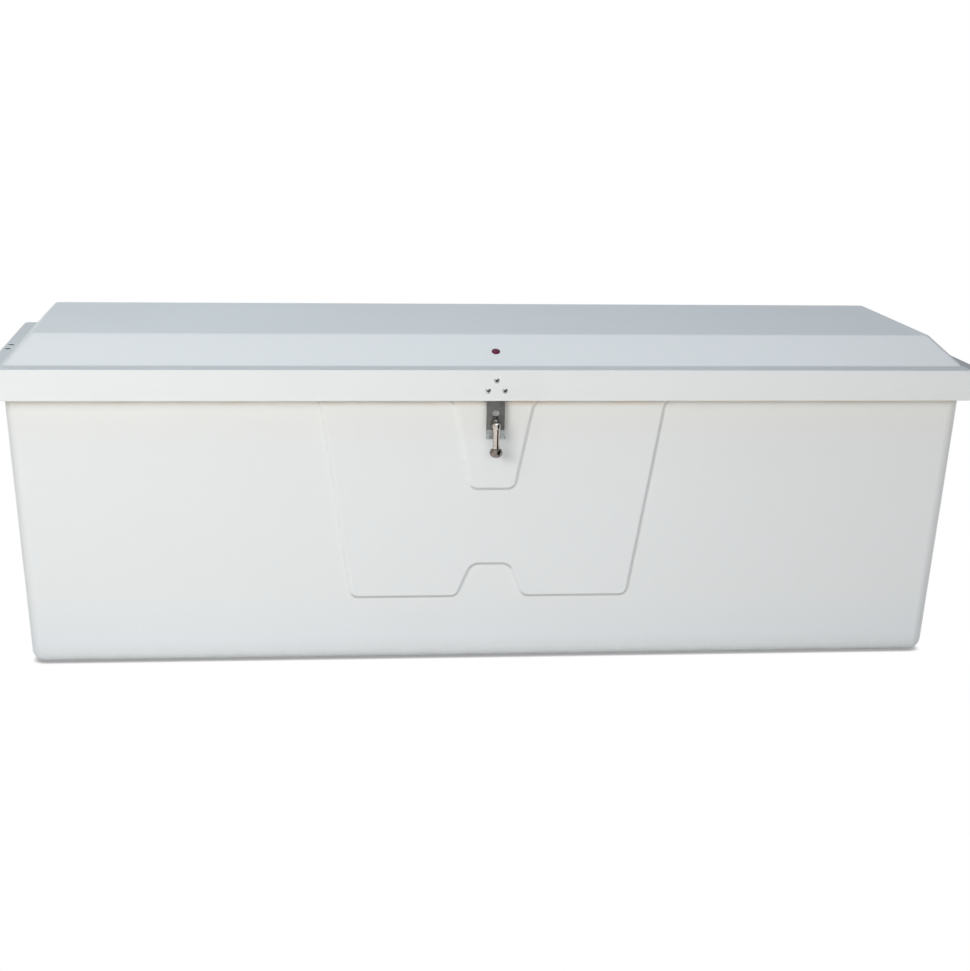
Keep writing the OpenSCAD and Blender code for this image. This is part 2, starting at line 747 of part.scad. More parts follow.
module spring_rivets(side) {
    grip = bracket_t + wall + 2 * seat_gap;
    color(dark_steel) at_spring_rivets(side) translate([0, 0, -grip]) rotate([180, 0, 0]) rivet(grip);
}

module lid_screws(side) {
    screw_len = rib_w / 2 - screw_tip_gap;
    color(dark_steel) at_lid_screws(side) {
        cylinder(h = rivet_head_h, r1 = rivet_head_r, r2 = rivet_head_r - screw_bevel, $fn = round_fn);
        translate([0, 0, -screw_len]) cylinder(h = screw_len + eps, r = rivet_r, $fn = round_fn);
    }
}

module spring_rivets_left() { spring_rivets(-1); }
module spring_rivets_right() { spring_rivets(1); }
module lid_screws_left() { lid_screws(-1); }
module lid_screws_right() { lid_screws(1); }

// Places its children with Z from the tub's pivot towards the lid's pivot
module along_spring(side) {
    translate([side * spring_x, tub_pivot[0], tub_pivot[1]]) rotate([spring_tilt, 0, 0]) children();
}

module eye(z) {
    translate([0, 0, z]) rotate([0, 90, 0]) cylinder(h = eye_w, r = eye_r, center = true, $fn = round_fn);
}

module eye_bore(z) {
    translate([0, 0, z]) rotate([0, 90, 0])
        cylinder(h = 2 * eye_w, r = stud_r + run_gap, center = true, $fn = round_fn);
}

// Tube with its lower eye, a closed foot and a gland that guides the rod
module spring_tube(side) {
    color(strut_black) along_spring(side) difference() {
        union() {
            eye(0);
            cylinder(h = neck_len + bite, r = neck_r, $fn = round_fn);
            translate([0, 0, neck_len]) cylinder(h = tube_len, r = tube_r, $fn = round_fn);
        }
        eye_bore(0);
        translate([0, 0, neck_len + tube_cap])
            cylinder(h = tube_len - tube_cap - gland_len, r = tube_r - tube_wall, $fn = round_fn);
        translate([0, 0, neck_len + tube_cap])
            cylinder(h = tube_len, r = rod_r + run_gap, $fn = round_fn);
    }
}

module spring_rod(side) {
    color(stainless) along_spring(side) difference() {
        union() {
            eye(spring_shut);
            translate([0, 0, spring_shut - neck_len])
                cylinder(h = neck_len, r = neck_r, $fn = round_fn);
            translate([0, 0, spring_shut - neck_len - rod_len])
                cylinder(h = rod_len + bite, r = rod_r, $fn = round_fn);
        }
        eye_bore(spring_shut);
    }
}

module spring_tube_left() { spring_tube(-1); }
module spring_tube_right() { spring_tube(1); }
module spring_rod_left() { spring_rod(-1); }
module spring_rod_right() { spring_rod(1); }

// Keyhole that is open at its foot, with a round sight hole over it
module keyhole() {
    circle(d = seat_d, $fn = round_fn);
    translate([-throat_w / 2, -2 * flare_len]) square([throat_w, 2 * flare_len]);
    translate([-cam_w / 2, 0]) square([cam_w, sight_up]);
    translate([0, sight_up]) circle(d = sight_d, $fn = round_fn);
}

// Hasp plate: a T-shaped plate riveted behind the lip, whose forked tongue drops over the cam
module hasp_plate() {
    flare_z = seat_z - flare_down;
    head_z = lid_under_z - hasp_head_gap;
    color(stainless) difference() {
        union() {
            translate([0, hasp_back, 0]) rotate([90, 0, 0]) linear_extrude(hasp_t) difference() {
                union() {
                    plan(-hasp_head_w / 2, hasp_head_w / 2, lip_z - hasp_head_drop, head_z, hasp_head_r);
                    translate([-hasp_w / 2, flare_z]) square([hasp_w, lip_z + hasp_head_r - flare_z]);
                }
                translate([0, seat_z]) keyhole();
            }
            for (s = [-1, 1])
                translate([s * (hasp_w - prong_w + prong_out) / 2, hasp_back, flare_z])
                    rotate([90 - flare_angle, 0, 0]) linear_extrude(hasp_t) {
                        translate([-prong_w / 2, -flare_len + prong_w / 2])
                            square([prong_w, flare_len - prong_w / 2 + hasp_t / 2]);
                        translate([0, -flare_len + prong_w / 2]) circle(d = prong_w, $fn = round_fn);
                    }
        }
        at_hasp_rivets() rivet_hole(3 * wall);
    }
}

module hasp_rivets() {
    color(dark_steel) at_hasp_rivets() translate([0, 0, seat_gap / 2])
        rivet(wall + hasp_t + 2 * seat_gap);
}

// Cast base on the latch pad: a foot and a boss that carries the shaft
module latch_base() {
    foot_low = base_rivet_down + rivet_head_r + rivet_land;
    color(stainless) difference() {
        union() {
            at_latch() translate([0, 0, pad_face + seat_gap]) linear_extrude(base_t)
                plan(-base_w / 2, base_w / 2, -foot_low, boss_r + bite, base_r);
            at_latch() translate([0, 0, pad_face + seat_gap])
                cylinder(h = boss_top - pad_face - seat_gap, r = boss_r, $fn = round_fn);
        }
        at_latch() cylinder(h = 4 * pad_face, r = shaft_r + run_gap, $fn = round_fn);
        at_latch_rivets() rivet_hole(3 * wall);
    }
}

module latch_rivets() {
    color(dark_steel) at_latch_rivets() rivet(base_t + wall + seat_gap);
}

// Turn lever: shaft, flat cam that works in the keyhole, hub and tapered lever
module turn_lever() {
    shaft_end = pad_inner - washer_t - nut_t - shaft_tip;
    cam_back = boss_top + side_gap;
    color(stainless) at_latch() {
        translate([0, 0, shaft_end])
            cylinder(h = cam_back - shaft_end + eps, r = shaft_r - eps, $fn = round_fn);
        intersection() {
            translate([0, 0, cam_back]) cylinder(h = hub_back - cam_back + eps, d = cam_len, $fn = round_fn);
            translate([-cam_w / 2, -cam_len, cam_back]) cube([cam_w, 2 * cam_len, hub_back]);
        }
        translate([0, 0, hub_back]) cylinder(h = lever_out - hub_back, r = hub_r, $fn = round_fn);
        translate([0, 0, lever_out]) sphere(hub_r, $fn = round_fn);
        translate([0, 0, lever_out]) rotate([90, 0, 0]) {
            cylinder(h = lever_len - knob_seat, r1 = lever_top_r, r2 = lever_low_r, $fn = round_fn);
            cylinder(h = lever_len, r = spigot_r, $fn = round_fn);
        }
    }
}

// Round knob with a flat seat, screwed on the lever's spigot
module lever_knob() {
    color(dark_steel) at_latch() translate([0, -lever_len, lever_out]) rotate([-90, 0, 0]) difference() {
        rotate_extrude($fn = round_fn) intersection() {
            circle(knob_r, $fn = round_fn);
            translate([0, -knob_r]) square([knob_r, knob_r + knob_seat - seat_gap]);
        }
        translate([0, 0, -seat_gap]) cylinder(h = 2 * knob_r, r = spigot_r + seat_gap, $fn = round_fn);
    }
}

module latch_washer() {
    color(stainless) at_latch() translate([0, 0, pad_inner - washer_t - seat_gap]) difference() {
        cylinder(h = washer_t, r = washer_r, $fn = round_fn);
        translate([0, 0, -bite]) cylinder(h = washer_t + 2 * bite, r = shaft_r + side_gap, $fn = round_fn);
    }
}

module latch_nut() {
    color(dark_steel) at_latch() translate([0, 0, pad_inner - washer_t - nut_t - 3 * seat_gap]) difference() {
        cylinder(h = nut_t, d = nut_af / cos(30), $fn = 6);
        translate([0, 0, -bite]) cylinder(h = nut_t + 2 * bite, r = shaft_r + run_gap, $fn = round_fn);
    }
}

// Red plug in the lid's front slope: a low domed head on a stem with a barb
module lid_plug() {
    head_r = plug_d / 2;
    stem_r = plug_stem_d / 2;
    barb_z = wall + seat_gap;
    dome_r = (head_r * head_r + plug_h * plug_h) / (2 * plug_h);
    color(plug_red) at_plug() {
        intersection() {
            translate([0, 0, plug_h - dome_r + seat_gap]) sphere(dome_r, $fn = round_fn);
            translate([0, 0, seat_gap]) cylinder(h = plug_h, r = head_r, $fn = round_fn);
        }
        translate([0, 0, -barb_z]) cylinder(h = barb_z + 2 * seat_gap, r = stem_r, $fn = round_fn);
        translate([0, 0, -barb_z - plug_barb_len])
            cylinder(h = plug_barb_len, r1 = stem_r - plug_barb_rim, r2 = stem_r + plug_barb_rim,
                $fn = round_fn);
    }
}

body_shell();
rim_seal();
lid_shell();
rib_left();
rib_mid_left();
rib_mid_right();
rib_right();
hinge_body_leaf();
hinge_lid_leaf();
hinge_pin();
hinge_body_rivets();
hinge_lid_rivets();
spring_bracket_left();
spring_bracket_right();
spring_rivets_left();
spring_rivets_right();
lid_bracket_left();
lid_bracket_right();
lid_screws_left();
lid_screws_right();
spring_tube_left();
spring_tube_right();
spring_rod_left();
spring_rod_right();
hasp_plate();
hasp_rivets();
latch_base();
latch_rivets();
turn_lever();
lever_knob();
latch_washer();
latch_nut();
lid_plug();
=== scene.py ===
"""Looks of the white fibreglass dock box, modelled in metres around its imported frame."""
import logging
import math
from dataclasses import dataclass
from enum import Enum
from typing import Callable, List, Optional, Sequence, Tuple, Union

import bmesh
import bpy
from mathutils import Matrix, Vector


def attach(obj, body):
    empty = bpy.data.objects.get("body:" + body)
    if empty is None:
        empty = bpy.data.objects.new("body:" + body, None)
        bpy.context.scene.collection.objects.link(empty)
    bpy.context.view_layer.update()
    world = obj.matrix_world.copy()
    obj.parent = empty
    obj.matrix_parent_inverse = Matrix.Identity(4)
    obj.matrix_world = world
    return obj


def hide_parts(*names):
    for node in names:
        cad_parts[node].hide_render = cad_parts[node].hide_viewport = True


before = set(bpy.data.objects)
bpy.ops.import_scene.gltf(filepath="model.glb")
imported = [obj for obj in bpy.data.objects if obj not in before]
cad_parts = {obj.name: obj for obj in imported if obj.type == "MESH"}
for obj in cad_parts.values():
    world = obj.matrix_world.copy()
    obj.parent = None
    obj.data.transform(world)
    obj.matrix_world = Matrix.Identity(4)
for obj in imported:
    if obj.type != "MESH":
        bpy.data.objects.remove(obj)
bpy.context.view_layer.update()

LOG = logging.getLogger("dock_box")
TINY = 2e-5
NEAR = 1e-4
QUARTER = math.pi / 2
OVER = 0.01  # how far a cutter or a root reaches past a face
THROUGH = 0.02  # how far a round cutter reaches to both sides
WAVE_UNIT = 20.0  # the wave texture's own factor on its scale
MIDDLE = (0.3, 0.7)  # the middle of a noise pattern's values

Triple = Tuple[float, float, float]
Station = Tuple[float, float]
Pattern = Tuple[float, float, float]  # cells per metre, octaves, weight of the fine octaves
Band = Tuple[float, float, float, float]  # start and end of a range, and the results there
Test = Callable[[Vector, Vector], bool]
Socket = bpy.types.NodeSocket


class Pick(Enum):
    """What a selection on the bench holds."""

    VERT = 0
    EDGE = 1
    FACE = 2


class Blend(Enum):
    """How a second workpiece goes into the first."""

    ADD = "UNION"
    CUT = "DIFFERENCE"


class Body(Enum):
    """Bodies that pieces ride on."""

    TUB = "tub"
    LID = "lid"
    LEVER = "latch_lever"


class Slot(Enum):
    """Material slots of the record."""

    GELCOAT = "gelcoat"
    LAMINATE = "laminate"
    STAINLESS = "stainless"
    POLISHED = "polished_steel"
    CHROME = "rod_chrome"
    BLACK = "strut_black"
    RUBBER = "seal_rubber"
    RED = "plug_red"


class Side(Enum):
    """Left or right end of the box, as seen from the front."""

    LEFT = -1
    RIGHT = 1

    @property
    def word(self) -> str:
        """The side's name as node and body names have it."""
        return self.name.lower()


# ---------------------------------------------------------------- bench

def upright(_place: Vector, way: Vector) -> bool:
    """Whether an edge stands upright."""
    return abs(way.z) > 0.9


def at_height(z: float, level: bool = False) -> Test:
    """A test for what lies at a height, and for edges also runs level where that is asked."""
    return lambda p, d: abs(p.z - z) < TINY and (not level or abs(d.z) < 0.01)


def at_corners(corners: Sequence[Station]) -> Test:
    """A test for verts of a sheet at given half widths and heights, on both sides of its middle."""
    return lambda p, n: any(abs(abs(p.x) - x) < NEAR and abs(p.y - y) < NEAR for x, y in corners)


class Workpiece:
    """One mesh on the bench, shaped with modelling operators."""

    def __init__(self, name: str, size: Triple = (1.0, 1.0, 1.0)) -> None:
        """Takes over the primitive that was just added and moves its place into its mesh.

        Args:
            name: name of the object and of its mesh.
            size: scale of the primitive along X, Y and Z.
        """
        self.obj = bpy.context.object
        self.obj.name = name
        self.obj.data.name = name
        self.obj.scale = size
        bpy.ops.object.transform_apply(location=True, rotation=True, scale=True)

    @staticmethod
    def clear() -> None:
        """Leaves edit mode and deselects everything."""
        active = bpy.context.view_layer.objects.active
        if active is not None and active.mode != "OBJECT":
            bpy.ops.object.mode_set(mode="OBJECT")
        bpy.ops.object.select_all(action="DESELECT")

    @classmethod
    def block(cls, name: str, low: Sequence[float], high: Sequence[float]) -> "Workpiece":
        """Adds a block between two corners.

        Args:
            name: name of the piece.
            low: lowest corner.
            high: highest corner.

        Returns:
            The new workpiece.
        """
        cls.clear()
        middle = [(a + b) / 2 for a, b in zip(low, high)]
        bpy.ops.mesh.primitive_cube_add(size=1.0, location=middle)
        return cls(name, tuple(b - a for a, b in zip(low, high)))

    @classmethod
    def rounded_block(cls, name: str, low: Triple, high: Triple, radius: float,
                      steps: int = 9) -> "Workpiece":
        """Adds a block with rounded upright edges.

        Args:
            name: name of the piece.
            low: lowest corner.
            high: highest corner.
            radius: radius of the upright edges.
            steps: number of faces across each rounding.

        Returns:
            The new workpiece.
        """
        return cls.block(name, low, high).round_edges(upright, radius, steps)

    @classmethod
    def sheet(cls, name: str, low: Station, high: Station, height: float) -> "Workpiece":
        """Adds a flat sheet that faces up.

        Args:
            name: name of the piece.
            low: lowest X and Y.
            high: highest X and Y.
            height: its Z.

        Returns:
            The new workpiece.
        """
        cls.clear()
        bpy.ops.mesh.primitive_plane_add(
            size=1.0, location=((low[0] + high[0]) / 2, (low[1] + high[1]) / 2, height))
        return cls(name, (high[0] - low[0], high[1] - low[1], 1.0))

    @classmethod
    def bar(cls, name: str, radius: float, low: float, high: float, sides: int = 32) -> "Workpiece":
        """Adds a round or many-sided bar along Z.

        Args:
            name: name of the piece.
            radius: its radius.
            low: lower end.
            high: upper end.
            sides: number of sides.

        Returns:
            The new workpiece.
        """
        cls.clear()
        bpy.ops.mesh.primitive_cylinder_add(
            vertices=sides, radius=radius, depth=high - low, location=(0, 0, (low + high) / 2))
        return cls(name)

    @classmethod
    def lathe(cls, name: str, stations: Sequence[Station], sides: int = 32) -> "Workpiece":
        """Turns a solid about Z: a ring is drawn along Z and resized at each station.

        Args:
            name: name of the piece.
            stations: height and radius of each ring. A first station repeated as the last one
                closes the section into a hoop.
            sides: number of sides.

        Returns:
            The new workpiece, closed at both ends.
        """
        cls.clear()
        first = stations[0]
        height, radius = first
        bpy.ops.mesh.primitive_circle_add(
            vertices=sides, radius=radius, fill_type="NOTHING", location=(0, 0, height))
        piece = cls(name)
        piece.edit()
        bpy.ops.mesh.select_mode(type="VERT")
        bpy.ops.mesh.select_all(action="SELECT")
        for z, r in stations[1:]:
            piece.extrude((0, 0, z - height))
            piece.resize((r / radius, r / radius, 1.0), (0, 0, z))
            height, radius = z, r
        if first == stations[-1]:
            piece.merge()
        else:
            bpy.ops.mesh.edge_face_add()
            piece.pick(Pick.VERT, lambda p, n: abs(p.z - first[0]) < 1e-7
                       and abs(p.xy.length - first[1]) < 1e-6)
            bpy.ops.mesh.edge_face_add()
        return piece.face_out()

    def edit(self) -> None:
        """Opens this piece, and no other, in edit mode."""
        active = bpy.context.view_layer.objects.active
        if active is self.obj and self.obj.mode == "EDIT":
            return
        self.only()
        bpy.ops.object.mode_set(mode="EDIT")

    def only(self) -> None:
        """Selects this piece alone, in object mode."""
        self.clear()
        self.obj.select_set(True)
        bpy.context.view_layer.objects.active = self.obj

    def pick(self, kind: Pick, test: Test) -> None:
        """Selects what passes a test on its place and direction.

        Args:
            kind: verts, edges or faces.
            test: gets the place, and the normal or the edge's direction.
        """
        self.edit()
        bpy.ops.mesh.select_mode(type=kind.name)
        bpy.ops.mesh.select_all(action="DESELECT")
        mesh = bmesh.from_edit_mesh(self.obj.data)
        mesh.normal_update()
        for item in (mesh.verts, mesh.edges, mesh.faces)[kind.value]:
            if kind is Pick.VERT:
                hit = test(item.co, item.normal)
            elif kind is Pick.EDGE:
                a, b = item.verts
                hit = test((a.co + b.co) / 2, (b.co - a.co).normalized())
            else:
                hit = test(item.calc_center_median(), item.normal)
            if hit:
                item.select_set(True)
        mesh.select_flush_mode()
        bmesh.update_edit_mesh(self.obj.data)

    def extrude(self, step: Sequence[float]) -> None:
        """Extrudes the selection by a step."""
        bpy.ops.mesh.extrude_region_move(TRANSFORM_OT_translate={"value": tuple(step)})

    def resize(self, factor: Triple, centre: Sequence[float]) -> None:
        """Resizes the selection about a point."""
        bpy.ops.transform.resize(value=factor, center_override=tuple(centre))

    def move(self, step: Sequence[float]) -> None:
        """Moves the selection."""
        bpy.ops.transform.translate(value=tuple(step))

    def bevel(self, width: float, steps: int, corners: bool = False) -> None:
        """Rounds the selected edges, or the selected corners of a sheet."""
        bpy.ops.mesh.bevel(offset=width, segments=steps, profile=0.5, clamp_overlap=False,
                           affect="VERTICES" if corners else "EDGES")

    def round_edges(self, test: Test, width: float, steps: int) -> "Workpiece":
        """Rounds the edges that pass a test.

        Args:
            test: gets an edge's middle and direction.
            width: width of the rounding.
            steps: number of faces across it.

        Returns:
            This workpiece.
        """
        self.pick(Pick.EDGE, test)
        self.bevel(width, steps)
        return self

    def merge(self) -> "Workpiece":
        """Merges doubled verts of the whole piece.

        Returns:
            This workpiece.
        """
        self.edit()
        bpy.ops.mesh.select_all(action="SELECT")
        bpy.ops.mesh.remove_doubles(threshold=1e-6)
        return self

    def face_out(self) -> "Workpiece":
        """Turns all faces outwards.

        Returns:
            This workpiece.
        """
        self.edit()
        bpy.ops.mesh.select_all(action="SELECT")
        bpy.ops.mesh.normals_make_consistent(inside=False)
        return self

    def place(self, matrix: Matrix) -> "Workpiece":
        """Moves the piece into a frame and keeps its place in its mesh.

        Args:
            matrix: the frame.

        Returns:
            This workpiece.
        """
        self.only()
        self.obj.matrix_world = matrix
        bpy.ops.object.transform_apply(location=True, rotation=True, scale=True)
        return self

    def modify(self, kind: str, **settings: object) -> "Workpiece":
        """Adds a modifier, sets it up and applies it.

        Args:
            kind: the modifier's type.
            settings: its properties.

        Returns:
            This workpiece.
        """
        self.only()
        bpy.ops.object.modifier_add(type=kind)
        modifier = self.obj.modifiers[-1]
        for key, value in settings.items():
            setattr(modifier, key, value)
        bpy.ops.object.modifier_apply(modifier=modifier.name)
        return self

    def blend(self, other: "Workpiece", how: Blend) -> "Workpiece":
        """Adds another workpiece to this one or cuts it away, and scraps it.

        Args:
            other: the second workpiece.
            how: add or cut.

        Returns:
            This workpiece.
        """
        self.clear()
        self.modify("BOOLEAN", object=other.obj, operation=how.value, solver="EXACT")
        bpy.data.objects.remove(other.obj, do_unlink=True)
        return self

    def tidy(self) -> "Workpiece":
        """Merges doubles and flat neighbours that cuts left behind.

        Returns:
            This workpiece.
        """
        self.edit()
        bpy.ops.mesh.select_all(action="SELECT")
        bpy.ops.mesh.remove_doubles(threshold=1e-5)
        bpy.ops.mesh.dissolve_limited(angle_limit=math.radians(0.4))
        return self

    def copy(self, name: str) -> "Workpiece":
        """Copies the piece with a mesh of its own.

        Args:
            name: name of the copy.

        Returns:
            The copy.
        """
        self.clear()
        twin = object.__new__(Workpiece)
        twin.obj = self.obj.copy()
        twin.obj.data = self.obj.data.copy()
        twin.obj.name = twin.obj.data.name = name
        bpy.context.collection.objects.link(twin.obj)
        return twin

    def gather(self, others: Sequence["Workpiece"]) -> "Workpiece":
        """Joins other pieces into this object.

        Args:
            others: the pieces that become part of it.

        Returns:
            This workpiece.
        """
        self.only()
        for other in others:
            other.obj.select_set(True)
        bpy.ops.object.join()
        return self

    def soften(self, width: float, steps: int = 2, angle: float = 30.0) -> "Workpiece":
        """Breaks all edges sharper than an angle."""
        return self.modify("BEVEL", width=width, segments=steps, limit_method="ANGLE",
                           angle_limit=math.radians(angle), use_clamp_overlap=True)

    def shade(self, angle: float = 35.0, weighted: bool = True) -> "Workpiece":
        """Shades the piece smooth up to an angle.

        Args:
            angle: sharpest smooth edge, in degrees.
            weighted: True lets the large faces set the normals.

        Returns:
            This workpiece.
        """
        self.only()
        bpy.ops.object.shade_smooth_by_angle(angle=math.radians(angle))
        if weighted:
            self.modify("WEIGHTED_NORMAL", keep_sharp=True, weight=50)
        return self

    def dress(self, finish: "Finish", test: Test) -> None:
        """Gives the faces that pass a test a finish of their own.

        Args:
            finish: their finish.
            test: gets a face's place and normal.
        """
        if not self.obj.data.materials:
            self.obj.data.materials.append(None)
        self.obj.data.materials.append(finish.material())
        self.pick(Pick.FACE, test)
        self.obj.active_material_index = len(self.obj.data.materials) - 1
        bpy.ops.object.material_slot_assign()

    def deliver(self, body: str, slot: Slot, finish: "Finish", *nodes: str) -> None:
        """Dresses the finished piece, sets it on its body and reports it.

        Args:
            body: the body that it rides on.
            slot: the record's material slot; not used.
            finish: its main finish.
            nodes: the CAD nodes that it stands for.
        """
        self.clear()
        if not self.obj.data.materials:
            self.obj.data.materials.append(finish.material())
        else:
            self.obj.data.materials[0] = finish.material()
        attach(self.obj, body)
        if nodes:
            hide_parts(*nodes)
        LOG.info("%s: %d faces on %s", self.obj.name, len(self.obj.data.polygons), body)


# ---------------------------------------------------------------- finishes

class Board:
    """A material's node tree with short calls to add and wire nodes."""

    def __init__(self, name: str) -> None:
        """Starts a material with a Principled shader and object coordinates.

        Args:
            name: the material's name.
        """
        self.material = bpy.data.materials.new(name)
        self.material.use_nodes = True
        self.tree = self.material.node_tree
        self.shader = self.tree.nodes["Principled BSDF"]
        self.coords = self.add("ShaderNodeTexCoord").outputs["Object"]

    def add(self, kind: str, **settings: object) -> bpy.types.Node:
        """Adds a node.

        Args:
            kind: the node's type.
            settings: its properties.

        Returns:
            The node.
        """
        node = self.tree.nodes.new(kind)
        for key, value in settings.items():
            setattr(node, key, value)
        return node

    def wire(self, source: Socket, target: Socket) -> None:
        """Connects two sockets."""
        self.tree.links.new(source, target)

    def feed(self, target: Socket, value: Union[Socket, float, Sequence[float]]) -> None:
        """Wires a value into a socket, or sets a plain number or colour on it.

        Args:
            target: the socket.
            value: a socket, a number or a colour with its alpha.
        """
        if isinstance(value, bpy.types.NodeSocket):
            self.wire(value, target)
        else:
            target.default_value = value

    def stretch(self, scale: Triple) -> Socket:
        """Stretches the object coordinates along the axes.

        Args:
            scale: factor along X, Y and Z.

        Returns:
            The stretched coordinates.
        """
        node = self.add("ShaderNodeMapping")
        node.inputs["Scale"].default_value = scale
        self.wire(self.coords, node.inputs["Vector"])
        return node.outputs["Vector"]

    def noise(self, pattern: Pattern, at: Optional[Socket] = None) -> Socket:
        """Adds a noise pattern.

        Args:
            pattern: cells per metre, octaves and weight of the fine octaves.
            at: coordinates, or None for the plain object coordinates.

        Returns:
            The pattern's value.
        """
        node = self.add("ShaderNodeTexNoise")
        for key, value in zip(("Scale", "Detail", "Roughness"), pattern):
            node.inputs[key].default_value = value
        self.wire(at or self.coords, node.inputs["Vector"])
        return node.outputs["Fac"]

    def ramp(self, source: Socket, band: Band) -> Socket:
        """Maps a value smoothly from one range to another.

        Args:
            source: the value.
            band: start and end of its range, and the results there.

        Returns:
            The mapped value.
        """
        node = self.add("ShaderNodeMapRange", interpolation_type="SMOOTHSTEP")
        for key, value in zip(("From Min", "From Max", "To Min", "To Max"), band):
            node.inputs[key].default_value = value
        self.wire(source, node.inputs["Value"])
        return node.outputs["Result"]

    def cloud(self, pattern: Pattern, band: Band, at: Optional[Socket] = None) -> Socket:
        """A noise pattern mapped to a range."""
        return self.ramp(self.noise(pattern, at), band)

    def reckon(self, operation: str, first: Socket, second: Union[Socket, float]) -> Socket:
        """Reckons with two values.

        Args:
            operation: the math node's operation.
            first: a value.
            second: a value or a plain number.

        Returns:
            The result.
        """
        node = self.add("ShaderNodeMath", operation=operation)
        self.wire(first, node.inputs[0])
        self.feed(node.inputs[1], second)
        return node.outputs[0]

    def times(self, first: Socket, second: Union[Socket, float]) -> Socket:
        """The product of two values."""
        return self.reckon("MULTIPLY", first, second)

    def tint(self, factor: Socket, first: Union[Socket, Triple], second: Triple) -> Socket:
        """Mixes two colours.

        Args:
            factor: share of the second.
            first: a colour or a colour's socket.
            second: a colour.

        Returns:
            The mixed colour.
        """
        node = self.add("ShaderNodeMix", data_type="RGBA")
        self.wire(factor, node.inputs["Factor"])
        plain = not isinstance(first, bpy.types.NodeSocket)
        self.feed(node.inputs[6], (*first, 1.0) if plain else first)
        self.feed(node.inputs[7], (*second, 1.0))
        return node.outputs[2]

    def height(self, source: Socket, depth: float, under: Optional[Socket] = None) -> Socket:
        """Turns a pattern into relief.

        Args:
            source: the pattern.
            depth: its depth in metres.
            under: relief that it lies on.

        Returns:
            The normal.
        """
        node = self.add("ShaderNodeBump")
        node.inputs["Distance"].default_value = depth
        self.wire(source, node.inputs["Height"])
        if under is not None:
            self.wire(under, node.inputs["Normal"])
        return node.outputs["Normal"]

    def along(self, axis: str, of: str = "Object") -> Socket:
        """Takes one coordinate apart from the others.

        Args:
            axis: its letter.
            of: Object for the place, or Normal for the way that the surface faces.

        Returns:
            The coordinate.
        """
        node = self.add("ShaderNodeSeparateXYZ")
        self.wire(self.coords.node.outputs[of], node.inputs["Vector"])
        return node.outputs[axis]

    def into(self, name: str, source: Socket) -> None:
        """Wires a value into the shader."""
        self.wire(source, self.shader.inputs[name])

    def fix(self, name: str, value: float) -> None:
        """Sets a plain value on the shader."""
        self.shader.inputs[name].default_value = value


@dataclass(frozen=True)
class Finish:
    """A finish that is wired once and then shared."""

    name: str

    def material(self) -> bpy.types.Material:
        """Gives the finish as a material, made when it is first asked for.

        Returns:
            The material.
        """
        made = bpy.data.materials.get(self.name)
        if made is None:
            board = Board(self.name)
            self.wire(board)
            made = board.material
        return made

    def wire(self, board: Board) -> None:
        """Lays out the nodes; each finish has its own."""
        raise NotImplementedError


